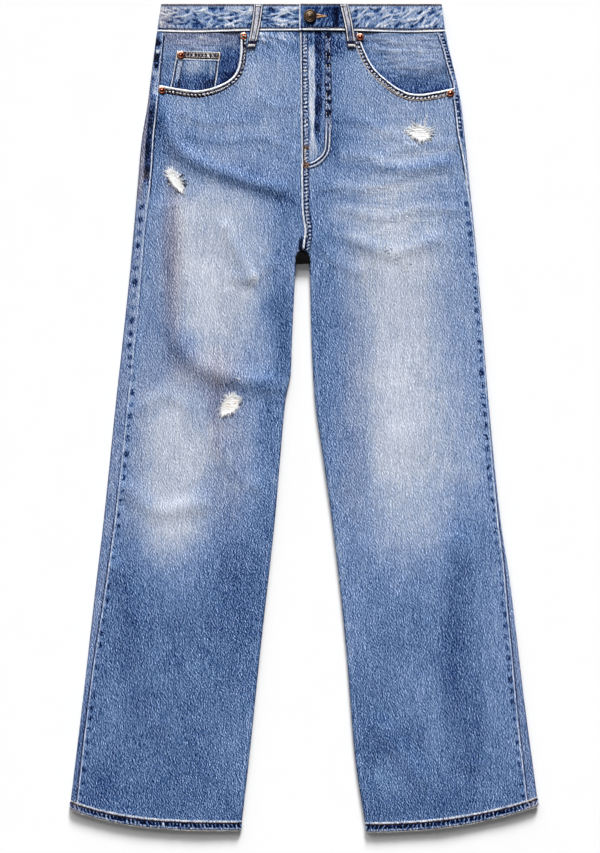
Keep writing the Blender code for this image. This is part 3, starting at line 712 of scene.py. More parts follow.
INDIGO = (
    (0.00, (0.001, 0.004, 0.020)),
    (0.15, (0.005, 0.018, 0.082)),
    (0.275, (0.024, 0.062, 0.192)),
    (0.375, (0.058, 0.117, 0.268)),
    (0.475, (0.117, 0.198, 0.384)),
    (0.575, (0.214, 0.300, 0.490)),
    (0.675, (0.352, 0.425, 0.584)),
    (0.725, (0.436, 0.497, 0.622)),
    (0.80, (0.561, 0.615, 0.735)),
    (0.93, (0.840, 0.855, 0.880)),
    (1.00, (0.950, 0.950, 0.950)),
)
BROWN = (
    (0.00, (0.0025, 0.002, 0.002)),
    (0.20, (0.024, 0.014, 0.012)),
    (0.38, (0.110, 0.066, 0.050)),
    (0.58, (0.330, 0.215, 0.150)),
    (0.78, (0.640, 0.520, 0.430)),
    (1.00, (0.930, 0.890, 0.840)),
)


def denim_look(name, grain=1.0):
    """Indigo twill: worn by the tone attribute, browned by the warm one, with a heathered yarn."""
    look = Look(name, Specular_IOR_Level=0.06)
    # short slanting strokes of twill, broken up by the fuzz of the yarn
    twill = {
        "Vector": look.place(0.35, 0.35, 0.0),
        "Scale": 1.0,
        "Frequency": 1.0,
        "Anisotropy": 0.6,
        "Orientation": math.radians(15),
    }
    twill = look.add("TexGabor", twill).outputs["Value"]
    fuzz = look.noise((0.95, 0.47, 0.95), detail=1.0, roughness=0.5, turn=-14)
    yarn = look.sum(look.times(twill, 0.6), look.times(fuzz, 0.4))
    slub = look.noise((0.36, 0.03, 0.36), detail=1.5)
    weft = look.noise((0.05, 0.42, 0.05), detail=1.0)
    crease = look.noise((0.045, 0.26, 0.045), detail=2.5, distortion=0.8)
    cloud = look.noise((0.055, 0.055, 0.055))
    worn, lap = look.attribute("tone"), look.attribute("lap")
    # dark cloth shows its white weft more than worn cloth does, but the black of a seam's shade
    # shows none
    depth = look.scaled(worn, -2.2 * grain, 2.85 * grain)
    depth = look.math("MINIMUM", depth, look.scaled(worn, 9.0 * grain, 0.6 * grain))
    tone = look.sum(
        worn,
        look.about(slub, 0.18),
        look.about(weft, 0.07),
        look.about(cloud, 0.09),
        look.times(look.about(crease, 0.20), lap),
    )
    colour = look.mix(look.attribute("warm"), look.ramp(tone, INDIGO), look.ramp(tone, BROWN))
    colour = look.lighten(colour, look.times(look.about(yarn, 1.0), depth))
    height = look.sum(yarn, slub, look.times(look.times(crease, 1.8), lap))
    return look.finish(colour, look.scaled(yarn, -0.2, 0.98), height, depth=0.38, strength=0.8)


def thread_look(name, *stops):
    """Spun thread, whose tone attribute picks how fresh or worn each stitch is."""
    look = Look(name, Sheen_Weight=0.2, Specular_IOR_Level=0.25)
    fibre = look.noise((1.6, 1.6, 1.6))
    tone = look.sum(look.attribute("tone"), look.about(fibre, 0.35))
    return look.finish(look.ramp(tone, stops), look.scaled(fibre, -0.2, 0.9), fibre, depth=0.15)


def metal_look(name, rough, *stops):
    """Old cast metal: dark where it has tarnished, and bright where it rubs, with painted
    highlights carried in the tone attribute.
    """
    look = Look(name, Metallic=0.85)
    patina = look.noise((0.5, 0.5, 0.5), detail=4.0, roughness=0.65)
    scratch = look.noise((0.3, 2.4, 1.0))
    tone = look.sum(look.attribute("tone"), look.about(patina, 0.7), look.about(scratch, 0.15))
    roughness = look.math("MULTIPLY_ADD", patina, -0.3, rough, clamp=True)
    return look.finish(look.ramp(tone, stops), roughness, patina, depth=0.12)


DENIM = denim_look("denim")
DENIM_DARK = denim_look("denim_dark", grain=0.8)
DENIM_BACK = denim_look("denim_back", grain=0.9)
DENIM_BAND = denim_look("denim_band", grain=0.5)
DENIM_SHADE = denim_look("denim_shade", grain=0.12)
THREAD = thread_look(
    "thread",
    (0.0, (0.16, 0.10, 0.07)), (0.35, (0.50, 0.40, 0.31)), (0.7, (0.80, 0.76, 0.70)),
    (1.0, (0.95, 0.94, 0.92)),
)
RUST = thread_look(
    "thread_rust",
    (0.0, (0.05, 0.02, 0.01)), (0.4, (0.30, 0.12, 0.04)), (0.75, (0.62, 0.34, 0.14)),
    (1.0, (0.85, 0.65, 0.42)),
)
NAVY = thread_look(
    "thread_navy",
    (0.0, (0.003, 0.006, 0.02)), (0.5, (0.015, 0.03, 0.09)), (1.0, (0.06, 0.11, 0.24)),
)
WEFT = thread_look(
    "weft",
    (0.0, (0.50, 0.34, 0.22)), (0.3, (0.86, 0.76, 0.64)), (0.5, (0.97, 0.96, 0.95)),
    (0.7, (1.0, 1.0, 1.0)),
)
COPPER = metal_look(
    "copper", 0.42,
    (0.0, (0.05, 0.012, 0.008)), (0.35, (0.34, 0.075, 0.03)), (0.65, (0.66, 0.22, 0.12)),
    (1.0, (0.95, 0.72, 0.62)),
)
BRASS = metal_look(
    "brass", 0.6,
    (0.0, (0.012, 0.010, 0.009)), (0.45, (0.105, 0.066, 0.042)), (0.75, (0.30, 0.20, 0.125)),
    (1.0, (0.62, 0.52, 0.38)),
)


# Meshes.


def add_mesh(name, verts, faces, look, slot, smooth=50.0, **values):
    """A mesh from points in millimetres, with a value of each named attribute at each point."""
    mesh = bpy.data.meshes.new(name)
    mesh.from_pydata((np.asarray(verts, float) * MM).tolist(), [], faces)
    for key in ("tone", "warm", "lap"):
        value = np.full(len(verts), values.get(key, 0.0), np.float32)
        mesh.attributes.new(key, "FLOAT", "POINT").data.foreach_set("value", value)
    mesh.shade_smooth()
    mesh.set_sharp_from_angle(angle=math.radians(smooth))
    mesh.materials.append(look)
    obj = bpy.data.objects.new(name, mesh)
    bpy.context.scene.collection.objects.link(obj)
    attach(obj, "root")
    return obj


def add_cloth(
    name, points, faces, wall, tone, warm=0.0,
    look=DENIM, slot="denim", keep=None, lap=0.0, node=None,
):
    """A closed wall of cloth below a grid of points, of the cells that keep says.

    faces is the way that the cloth faces at each point, and node the CAD node that it replaces.
    """
    faces = np.broadcast_to(faces, points.shape)
    grid_shape = points.shape[:2]
    index = np.arange(grid_shape[0] * grid_shape[1]).reshape(grid_shape)
    quads = np.stack([index[:-1, :-1], index[1:, :-1], index[1:, 1:], index[:-1, 1:]], axis=-1)
    quads = quads.reshape(-1, 4)
    if keep is not None:
        quads = quads[keep.reshape(-1)]
    flat = points.reshape(-1, 3)
    a, b, c, d = (flat[quads[:, i]] for i in range(4))
    if (np.cross(c - a, d - b) * faces.reshape(-1, 3)[quads[:, 0]]).sum() < 0:
        quads = quads[:, ::-1]
    used, index = np.unique(quads, return_inverse=True)
    quads = index.reshape(-1, 4)
    ends = np.concatenate([quads[:, [i, (i + 1) % 4]] for i in range(4)])
    _, first, count = np.unique(
        np.sort(ends, axis=1), axis=0, return_index=True, return_counts=True
    )
    rim = ends[first[count == 1]]
    n = len(used)
    sides = np.stack([rim[:, 1], rim[:, 0], rim[:, 0] + n, rim[:, 1] + n], axis=-1)
    inside = (points - wall * faces).reshape(-1, 3)
    values = {
        key: np.tile(np.broadcast_to(value, grid_shape).reshape(-1)[used], 2)
        for key, value in (("tone", tone), ("warm", warm), ("lap", lap))
    }
    verts = np.concatenate([flat[used], inside[used]])
    quads = np.concatenate([quads, quads[:, ::-1] + n, sides]).tolist()
    made = add_mesh(name, verts, quads, look, slot, **values)
    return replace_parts(made, node) if node else made


def warp(leg, across, row, dip=0.0):
    """Drop of a row at a place across the leg, 0 at its inner edge and 1 at its outer one."""
    sunk = WAIST_SAG * bump(across, 0.75, 0.3) * step_down(row, WAIST, WAIST + 60)
    lift = leg.hem_lift * np.clip(across, 0, 1) ** leg.hem_power * smooth_step(row, 850, leg.hem)
    yoke = smooth_step(row, WAIST, YOKE) * step_down(row, YOKE, 150)
    return row + sunk - lift + dip * np.clip(1 - across / 0.9, 0, 1) * yoke


def across_leg(leg, out, drop):
    inner = inner_edge(leg, drop)
    return (out - inner) / (outer_edge(leg, drop) - inner)


EDGE_STEPS = (0.0, 0.7, 1.5, 2.5, 3.7, 5.1, 6.8, 8.8, 11.2, 14.0)


def spread(count):
    """Steps and shares of columns that are close together at both edges and even between."""
    steps, last = len(EDGE_STEPS), EDGE_STEPS[-1]
    share = np.concatenate([np.zeros(steps), (np.arange(count) + 1) / (count + 1), np.ones(steps)])
    outer = np.array([*EDGE_STEPS, *[last] * (count + steps)])
    return share, outer, outer[::-1]


def seam_place(leg, drop, beyond=0.0):
    """Out of the side seam, or of a line that is this much cloth further in."""
    return outer_edge(leg, drop) - reach(arc_at(read(SEAM_OFFSET, leg, drop)) + GAP / 2 + beyond)


def from_seam(leg, out, drop):
    """How far in from the side seam a place is, along the cloth."""
    return arc_at(outer_edge(leg, drop) - out) - arc_at(read(SEAM_OFFSET, leg, drop)) - GAP / 2


def inner_columns(leg, drop, steps, lap=0.0):
    past_middle = np.where(drop < CROTCH, GAP / 2 - lap, 0)
    return inner_edge(leg, drop) + past_middle + reach(TIP_ARC + steps)


def front_columns(leg, drop, count=58):
    share, outer, inner = spread(count)
    lap = leg.fly_lap * step_down(drop, FLY_END - 22, FLY_END)
    start, end = inner_columns(leg, drop, inner, lap), seam_place(leg, drop, outer)
    return end + (start - end) * share


def over_columns(leg, drop, count=9):
    seam = arc_at(read(SEAM_OFFSET, leg, drop)) - GAP / 2
    return outer_edge(leg, drop) - reach(seam * np.linspace(1.0, 0.08, count))


def under_columns(leg, drop, count=44):
    share, outer, inner = spread(count)
    start, end = inner_columns(leg, drop, inner), outer_edge(leg, drop) - reach(TIP_ARC + outer)
    return end + (start - end) * share


def facing_columns(leg, drop, count=44):
    start, end = seam_place(leg, drop), MOUTH[leg.name][0].out - FACING_REACH
    return start + (end - start) * np.linspace(0, 1, count)


def grid(leg, rows, columns, dip=0.0):
    """(out, drop) of every place where a row crosses a column."""
    rows = np.asarray(rows, float)[:, None]
    drop = warp(leg, across_leg(leg, columns(leg, rows), rows), rows, dip)
    return columns(leg, drop), drop


def panel_rows(start, end, cell=CELL):
    return np.linspace(start, end, int((end - start) / cell) + 1)


def resample(line, step):
    """The same line with even steps, and how far along it each point is."""
    run = np.concatenate([[0], np.cumsum(np.hypot(*np.diff(line, axis=0).T))])
    along = np.linspace(0, run[-1], max(int(run[-1] / step), 2) + 1)
    return np.stack([np.interp(along, run, line[:, i]) for i in range(2)], axis=-1), along


def beside(line, distances):
    """Places at these distances on the left of each point of a line."""
    tangent = np.gradient(line, axis=0)
    tangent /= np.linalg.norm(tangent, axis=1)[:, None]
    normal = np.stack([tangent[:, 1], -tangent[:, 0]], axis=-1)
    places = line[:, None] + normal[:, None] * np.asarray(distances)[None, :, None]
    return places[..., 0], places[..., 1]


def closed(outline):
    return np.concatenate([outline, outline[:1]])

# Threads.

SIDES = 5
RINGS = ((0.0, 0.35, 0.0), (0.2, 0.95, 0.5), (0.8, 0.95, 0.5), (1.0, 0.35, 0.0))


class Threads:
    """Short lengths of thread, made into one mesh."""

    def __init__(self, seed):
        self.random = np.random.default_rng(seed)
        self.parts = []

    def add(self, start, end, up, radius, tone):
        radius, tone = (np.broadcast_to(value, (len(start),)) for value in (radius, tone))
        self.parts.append((start, end, np.broadcast_to(up, start.shape), radius, tone))

    def row(self, points, up, pitch=3.4, length=2.5, radius=0.5, tone=0.75, vary=0.15, skip=0.0):
        """A row of stitches along a line of points."""
        run = np.concatenate([[0], np.cumsum(np.linalg.norm(np.diff(points, axis=0), axis=1))])
        along = np.arange(pitch * 0.3, run[-1] - length, pitch)
        along = along + self.random.uniform(-0.12, 0.12, len(along)) * pitch
        along = along[self.random.uniform(0, 1, len(along)) >= skip]
        if len(along) == 0:
            return
        start, end = (
            np.stack([np.interp(at, run, points[:, i]) for i in range(3)], axis=-1)
            for at in (along, along + length)
        )
        way = np.stack([np.interp(along, run, up[:, i]) for i in range(3)], axis=-1)
        self.add(start, end, way, radius, tone + self.random.uniform(-vary, vary, len(along)))

    def build(self, name, look, slot):
        start, end, up, radius, tone = (np.concatenate(part) for part in zip(*self.parts))
        axis = end - start
        side = np.cross(axis, up)
        side /= np.maximum(np.linalg.norm(side, axis=1), 1e-9)[:, None]
        up = np.cross(side, axis)
        up /= np.maximum(np.linalg.norm(up, axis=1), 1e-9)[:, None]
        verts, quads = [], []
        for r, (t, swell, arch) in enumerate(RINGS):
            middle = start + axis * t + up * (arch * radius * 0.6)[:, None]
            for i in range(SIDES):
                angle = 2 * math.pi * i / SIDES
                around = side * math.cos(angle) + up * math.sin(angle)
                verts.append(middle + around * (radius * swell)[:, None])
                if r:
                    here, after = r * SIDES + i, r * SIDES + (i + 1) % SIDES
                    quads.append([here - SIDES, here, after, after - SIDES])
        each = len(RINGS) * SIDES
        verts = np.stack(verts, axis=1).reshape(-1, 3)
        base = np.arange(len(start))[:, None, None] * each
        caps = np.array([list(range(SIDES)), list(range(each - 1, each - 1 - SIDES, -1))])
        faces = (np.array(quads)[None] + base).reshape(-1, 4).tolist()
        faces += (caps[None] + base).reshape(-1, SIDES).tolist()
        return add_mesh(name, verts, faces, look, slot, smooth=80, tone=np.repeat(tone, each))


# Openings in the front.

# How dark the hollows between a rip's threads are, and its size beside its CAD outline.
RIP_SHADE = {"thigh": 0.18, "knee": 0.85, "hip": 0.15}
RIP_SIZE = {"thigh": 0.79, "knee": 0.73, "hip": 0.82}
# Where the oval has a point, how far that reaches, how wide it is, and how much it shrinks there.
RIP_TIPS = {
    "thigh": (0.0, 0.0, 26.0, 0.0),
    "knee": (20.0, 0.12, 26.0, 0.0),
    "hip": (192.0, 0.55, 15.0, 0.30),
}


def rips_of(leg):
    return [rip for rip in RIPS if rip.leg is leg]


def rip_outline(rip, corners=60):
    """A ragged oval that may run out to a point."""
    angle = 2 * math.pi * np.arange(corners) / corners
    ragged = 1 + 0.05 * np.cos(3 * angle + rip.tilt) + 0.05 * np.cos(5 * angle)
    ragged = ragged + 0.025 * np.sin(11 * angle + rip.out) + 0.02 * np.sin(17 * angle)
    tip, far, wide, blunt = RIP_TIPS[rip.name]
    from_tip = (np.degrees(angle) - tip + 180) % 360 - 180
    ragged = ragged - blunt * bump(from_tip, 0, 75) + far * bump(from_tip, 0, wide)
    ragged = RIP_SIZE[rip.name] * ragged
    along = rip.length / 2 * ragged * np.cos(angle)
    across = rip.width / 2 * ragged * np.sin(angle)
    out, drop = turned(across, along, rip.tilt)
    return stacked(rip.out + out, rip.drop + drop)


def mouth_outline(leg):
    line = mouth_line(leg)
    corners = [(240.0, line[-1][1] - 8.0), (240.0, 10.0), (line[0][0], 10.0)]
    return np.concatenate([line, corners])


def within(outline, out, drop):
    inside = np.zeros(out.shape, bool)
    for (x0, y0), (x1, y1) in zip(outline, np.roll(outline, -1, axis=0)):
        crosses = (y0 > drop) != (y1 > drop)
        at = x0 + (drop - y0) * (x1 - x0) / (y1 - y0 if y1 != y0 else 1e-9)
        inside ^= crosses & (out < at)
    return inside


def open_up(out, drop, outlines):
    """Moves the places at the edge of each opening onto it. Returns them and the cells to keep."""
    middle = [(v[:-1, :-1] + v[1:, :-1] + v[1:, 1:] + v[:-1, 1:]) / 4 for v in (out, drop)]
    keep = np.ones(middle[0].shape, bool)
    for outline in outlines:
        gone = within(outline, *middle)
        keep &= ~gone
        touches = np.zeros((2, *out.shape), bool)
        for k, part in enumerate((gone, ~gone)):
            for rows in (slice(None, -1), slice(1, None)):
                for columns in (slice(None, -1), slice(1, None)):
                    touches[k][rows, columns] |= part
        edge = touches.all(0)
        _, moved = nearest(closed(outline), out[edge], drop[edge])
        out[edge], drop[edge] = moved[:, 0], moved[:, 1]
    return out, drop, keep


# The large panels.


def worn_near_rips(leg, out, drop):
    """The cloth is thin and pale round each rip."""
    tone = np.zeros(np.shape(out))
    for rip in rips_of(leg):
        away = signed_distance(closed(rip_outline(rip)), out, drop)
        tone += 0.10 * bump(away, 0, 4.0) * (1 + 0.8 * noise(out, drop, 3.0, 21))
    return tone


def add_front(leg):
    out, drop = grid(leg, panel_rows(WAIST + GAP, leg.hem), front_columns)
    outlines = [mouth_outline(leg), *map(rip_outline, rips_of(leg))]
    out, drop, keep = open_up(out, drop, outlines)
    points, faces = front_surface(leg, out, drop)
    x = leg.sign * out
    tone = front_tone(x, drop) + worn_near_rips(leg, out, drop)
    # painted shade on the front just below the waistband's foot
    tone -= 0.30 * bump(drop, warp(leg, across_leg(leg, out, drop), WAIST), 2.2)
    # painted shade along the leg's rolled edges
    tone -= 0.22 * bump(edge_distance(leg, out, drop), 0, 1.1)
    return add_cloth(
        f"denim_front_{leg.name}", points, faces, WALL, tone, front_warm(x, drop),
        keep=keep, lap=above_base(x, drop, LAP_FADES), node=f"front_{leg.name}",
    )


# The work outside the side seam by drop: its tone, how blotched and how dotted it is.
SIDE_WORK = {
    "right": (
        (36, 0.34, 0.16, 0), (42, 0.08, 0.34, 0), (80, 0.08, 0.34, 0.05), (90, 0.44, 0.18, 0.22),
        (122, 0.40, 0.18, 0.22), (131, 0.12, 0.12, 0.15), (150, 0.02, 0.08, 0.25),
        (196, 0.02, 0.06, 0.25), (214, 0.14, 0.10, 0.10), (240, 0.50, 0.05, 0),
    ),
    "left": (
        (36, 0.02, 0.06, 0.85), (84, 0.02, 0.06, 0.85), (94, 0.36, 0.10, 0.3),
        (114, 0.36, 0.10, 0.3), (122, 0.02, 0.06, 0.85), (166, 0.06, 0.10, 0.7), (176, 0.48, 0, 0),
    ),
}
# How far inside the left seam its work starts, by drop.
LEFT_SHIFT = ((36, 2.6), (74, 3.2), (92, 1.6), (104, 0.0))


def side_paint(leg, drop, a, x):
    """The felled side seam: a pale edge, a dark line of painted shade in the groove beside it and
    the ribs of what is under it.

    a is how far in from the seam a place is, measured along the cloth.
    """
    right = leg is RIGHT
    a = a if right else a - profile(drop, LEFT_SHIFT)
    high = step_down(drop, 236, 262)
    low = smooth_step(drop, 430, 500) if right else smooth_step(drop, 205, 250)
    foot = smooth_step(drop, 560, 680)
    outside = smooth_step(-a, 0.5, 2.5)
    paler = (0.15 if right else 0.04) * smooth_step(drop, 840, 940)
    pitch, half, seed = (15.5, 3.5, 30) if right else (13.5, 3.4, 32)
    spots = blots(drop, pitch, half, seed) * (1 - high) * bump(a, blend(-6.0, 4.6, low), 3.2, 4)
    worn_strip = 0.5 * band(a, blend(-5.0, 4.6, low), 4.5, 3.0) * (1 - high) * (1 - 0.6 * low)
    wave = np.sin(2 * math.pi * drop / 4.3 + 2.5 * noise(drop, a, 9.0, 33))
    dots = np.clip(3.0 * wave - 1.2, 0, 1) * band(a, -2.4, 1.7, 0.8)
    drops, *work = zip(*SIDE_WORK[leg.name])
    level, blotch, dotted = (np.interp(drop, drops, row) for row in work)
    if right:
        worked = high * band(a, -4.4, 3.8, 1.3)
        patch = bump(drop, 60.8, 3.0, 4) * band(a, -3.7, 2.1, 1.0)
        rusty = bump(drop, 218, 7, 4) * band(a, -5, 3.5, 2.0)
        grey = (0.10 + 0.32 * high * (1 - worked)) * outside
    else:
        worked = high * band(a, -2.9, 2.3, 0.7) * step_down(drop, 168, 182)
        patch, rusty, grey = 0.0, 0.0, 0.10 * outside
    # painted shade in the groove beside the seam's ridge
    dark = band(a, blend(2.1, -1.2, low), 1.1 - 0.35 * low, 0.5)
    dark = dark * np.maximum(high, 0.35 + 0.5 * foot * low)
    worn = band(a, 0.3, 0.85, 0.5) * (0.5 + 0.4 * high + 0.15 * foot)
    tone = layered(
        front_tone(x, drop),
        (0.75 * outside, 0.53 - paler + 0.05 * noise(drop, a, 9, 35)),
        (worn_strip, 0.62),
        (0.95 * spots, 0.10),
        (0.96 * worked, level + blotch * np.tanh(3.2 * noise(drop, a, 4.2, 36)) + dotted * dots),
        (patch, 0.90),
        (0.9 * dark, 0.05),
        (worn, 0.86 + 0.14 * noise(drop, a, 4.0, 34)),
    )
    return tone, grey + 0.25 * dark + 0.6 * rusty, spots


def add_back_sheet(part, leg, rows):
    """The strip that shows outside the side seam, and the hidden rest below the front."""
    out, drop = grid(leg, rows, over_columns, YOKE_DIP)
    under_out, under_drop = grid(leg, rows, under_columns, YOKE_DIP)
    pairs = zip(surface(leg, out, drop), surface(leg, under_out, under_drop, under=True))
    points, faces = (np.concatenate(pair, axis=1) for pair in pairs)
    tone, warm, _ = side_paint(leg, drop, from_seam(leg, out, drop), leg.sign * out)
    # painted shade along the rolled edge of the strip outside the side seam, browned a little
    rim = bump(edge_distance(leg, out, drop), 0, 1.0)
    below = back_tone(leg.sign * under_out, under_drop)
    tone = np.concatenate([tone - 0.26 * rim, below], axis=1)
    warm = np.concatenate([warm + 0.3 * rim, 0 * below], axis=1)
    name = f"{part}_{leg.name}"
    return add_cloth(
        f"denim_{name}", points, faces, WALL, tone, warm, DENIM_BACK, "denim_back", node=name
    )


def add_back(leg):
    return add_back_sheet("back", leg, panel_rows(YOKE + GAP / 2, leg.hem, BACK_CELL))


def add_yoke(leg):
    return add_back_sheet("yoke", leg, panel_rows(WAIST + GAP, YOKE - GAP / 2))


def add_facing(leg):
    out, drop = grid(leg, panel_rows(WAIST + GAP, FACING_FOOT, 1.3), facing_columns)
    points, faces = facing_surface(leg, out, drop)
    into = signed_distance(mouth_line(leg), out, drop)
    x = leg.sign * out
    wrinkle = noise(x * 0.22 + 3 * noise(x, drop, 30.0, 43), drop, 3.0, 41)
    tone = 0.50 + above_base(x, drop, FACING_FADES[leg.name])
    # the cloth is darker along the pocket mouth: painted shade under the front's edge
    tone = tone + 0.07 * wrinkle - 0.22 * bump(into, 0, 4.0)
    warm = 0.3 * smooth_step(-drop, -70, -40) if leg is RIGHT else 0.05
    ripple = 0.25 * noise(x * 0.35, drop, 5.0, 42) + 0.25 * wrinkle
    return add_cloth(
        f"denim_facing_{leg.name}", points + ripple[..., None] * faces, faces, WALL, tone, warm,
        DENIM_DARK, "denim_dark", lap=0.9, node=f"pocket_facing_{leg.name}",
    )


# Sewn strips.


def add_strip(name, leg, line, heights, paint, side=1, cell=FINE):
    """A strip of worked cloth beside a line, on its left where side is 1.

    heights is (distance from the line, height above the cloth) and paint gives the tone and warmth
    from how far along, how far across, and the height to add.
    """
    line, along = resample(line, cell)
    low, high = heights[0][0], heights[-1][0]
    distance = np.linspace(low, high, max(int((high - low) / cell), 3) + 1)
    out, drop = beside(line, side * distance)
    points, faces = front_surface(leg, out, drop)
    s, a = np.broadcast_arrays(along[:, None], distance[None, :])
    tone, warm, extra = paint(s, a, leg.sign * out, drop)
    height = profile(a, heights) + extra
    return add_cloth(name, points + height[..., None] * faces, faces, STRIP_WALL, tone, warm)


STRIP_WALL = 0.35
SEAM_WALL = 0.3
MOUTH_END = 106.0  # drop at which the pocket mouths meet the side seams
MOUTH_HEIGHTS = (
    (-0.7, -1.0), (-0.5, -0.2), (0.0, 0.55), (0.9, 0.95), (2.0, 0.85), (2.9, 0.30), (3.6, 0.35),
    (5.0, 0.62), (7.0, 0.55), (8.2, 0.12), (9.2, 0.25), (11.0, 0.12), (13.0, 0.06),
)


def paint_mouth(s, a, x, drop):
    """A rubbed edge, a row of ribs between two dark lines of painted shade in the stitch grooves,
    and puckers in the cloth beside it.
    """
    broad = 1.0 if x.mean() < 0 else 0.0
    low = smooth_step(s, 60, 90)
    ribs = teeth(s, a, 4.8, 0.5, 51)
    half = 0.95 + 0.55 * broad + 0.35 * noise(s, 0, 6.0, 53)
    worn = band(a, half - 0.4, half, 0.7)
    # painted shade in the two stitch grooves
    groove = np.clip(band(a, 2 * half + 0.5, 0.85) + 0.9 * band(a, 8.4 - 2 * (1 - low), 0.8), 0, 1)
    rib_band = band(a, 5.6 - (1 - low), 2.3 - 0.8 * (1 - low), 0.8)
    tone = layered(
        front_tone(x, drop) + 0.08 * ribs * band(a, 10.5, 2.0),
        (rib_band, 0.38 + 0.42 * ribs * (0.85 + 0.4 * noise(s, a, 6.0, 54))),
        (0.95 * groove, 0.05),
        ((1 - broad) * band(a, 7.4, 0.6), 0.84),
        (worn, 0.92 + 0.10 * noise(s, a, 2.6, 52)),
    )
    warm = rib_band * (0.62 - 0.4 * ribs) * (0.55 + 0.45 * low) + 0.7 * groove
    return tone, warm, 0.2 * ribs * rib_band


def mouth_seam(leg, past_waist, past_side):
    """The part of the pocket mouth that can be sewn."""
    line = mouth_line(leg)
    side = seam_place(leg, MOUTH_END) + past_side
    return line[(line[:, 1] > WAIST + past_waist) & (line[:, 0] < side)]


def add_mouth(leg):
    line = mouth_seam(leg, 0.8, 0.5)
    return add_strip(f"pocket_mouth_{leg.name}", leg, line, MOUTH_HEIGHTS, paint_mouth, side=-1)


def inner_line(leg, drops, beyond=0.0):
    return stacked(inner_edge(leg, drops) + beyond, drops)


FLY_HEIGHTS = (
    (-0.5, -0.8), (0.0, 0.2), (0.7, 0.60), (1.8, 0.55), (2.8, 0.15), (4.0, 0.45), (7.0, 0.5),
    (8.6, 0.15), (12.0, 0.35), (20.0, 0.40), (23.0, 0.25), (27.0, 0.45), (34.0, 0.45),
    (38.0, 0.20), (44.0, 0.05),
)


def paint_fly(s, a, x, drop):
    """The folded edge, its ribs, the worn strip and the unworn stripe of the fly."""
    ribs = teeth(s, a, 4.6, 0.25, 61, 1.5) * (0.8 + 0.5 * noise(s, a, 6.0, 66))
    spots = np.tanh(3 * noise(s, a, 5.0, 63))
    foot = step_down(drop, 184, 203)
    top = step_down(drop, 44, 60)
    strip = 0.77 - 0.36 * top + 0.16 * noise(s * 0.3, a * 1.4, 4.0, 64) + 0.12 * top * spots
    wide = 4.3 + 1.3 * noise(s, a * 0.2, 14.0, 68)
    dark = band(a, 22.8 - 2.4 * smooth_step(drop, 120, 160), 4.2 + 0.8 * noise(s, 0, 9.0, 69), 1.8)
    dark = dark * step_down(drop, 156, 180)
    rib_band = band(a, 5.8, 2.7, 0.9) * smooth_step(drop, 38, 44)
    # painted shade in the stitch grooves beside the folded edge and outside the ribs
    outer_groove = 0.75 * band(a, 9.2, 0.7) * (0.8 + 0.5 * noise(s, a, 6.0, 70))
    groove = np.clip(band(a, 2.6, 0.7) + outer_groove, 0, 1)
    tone = layered(
        front_tone(x, drop),
        (0.9 * band(a, 14.8, wide, 2.6) * foot, strip),
        (0.96 * dark, 0.13 + 0.08 * spots),
        (rib_band, 0.47 + 0.42 * ribs),
        (0.95 * groove, 0.05),
        (band(a, 0.6, 1.1, 0.7), 0.88 + 0.12 * noise(s, a, 2.4, 62)),
    )
    end = smooth_step(drop, 186, 205) * smooth_step(a, 9, 13)
    extra = 0.2 * ribs * rib_band + 0.15 * spots * dark - 0.40 * end
    return tone, 0.08 * rib_band + 0.3 * groove, extra


FLY_FOOT = 206.0
FLY_CURVE = ((30.0, 37), (30.6, 110), (30.2, 174), (26.6, 192), (15.4, 203), (3.0, 207.5))
CURVE_HEIGHTS = (
    (-4.6, 0.5), (-3.4, 0.6), (-2.0, 0.95), (0.0, 0.7), (2.0, 0.95), (3.4, 0.6), (4.6, 0.5),
)


def paint_curve(s, a, x, drop):
    """The rubbed column of the fly's stitching, and the two rows that curve round its foot."""
    foot = smooth_step(drop, 150, 166)
    ribs = np.tanh(3.5 * noise(s, a * 0.7, 4.2, 65))
    column = band(a, 0.0, 4.2, 1.4) * (1 - foot)
    # painted shade in the grooves of the two rows, and along the middle of their foot
    groove = np.clip(band(np.abs(a), 3.9, 0.7) * 0.7 + band(a, 0.0, 1.0) * foot, 0, 1)
    tone = layered(
        front_tone(x, drop),
        (0.95 * column, 0.24 + 0.26 * ribs),
        (0.9 * groove, 0.06),
        (band(np.abs(a), 2.3, 0.8, 0.5) * foot, 0.84 + 0.12 * noise(s, a, 2.6, 67)),
        (0.6 * bump(drop, 154, 8) * (1 - 0.5 * column), 0.84),
    )
    return tone, 0.18 * column + 0.3 * groove, 0.2 * ribs * column


def add_fly_curve():
    curve = curve_through(FLY_CURVE, 10)
    return add_strip("fly_curve", LEFT, curve, CURVE_HEIGHTS, paint_curve)


def add_fly():
    line = inner_line(LEFT, np.linspace(WAIST + 1.0, FLY_FOOT, 140), GAP / 2)
    return add_strip("fly_edge", LEFT, line, FLY_HEIGHTS, paint_fly)


CENTRE_HEIGHTS = (
    (-6.0, 0.02), (-1.2, 0.1), (-0.6, -0.15), (0.0, 0.25), (0.8, 0.65), (1.8, 0.5), (2.6, 0.1),
    (3.6, 0.4), (6.0, 0.55), (8.0, 0.4), (9.2, 0.1), (11.0, 0.12), (13.0, 0.05),
)


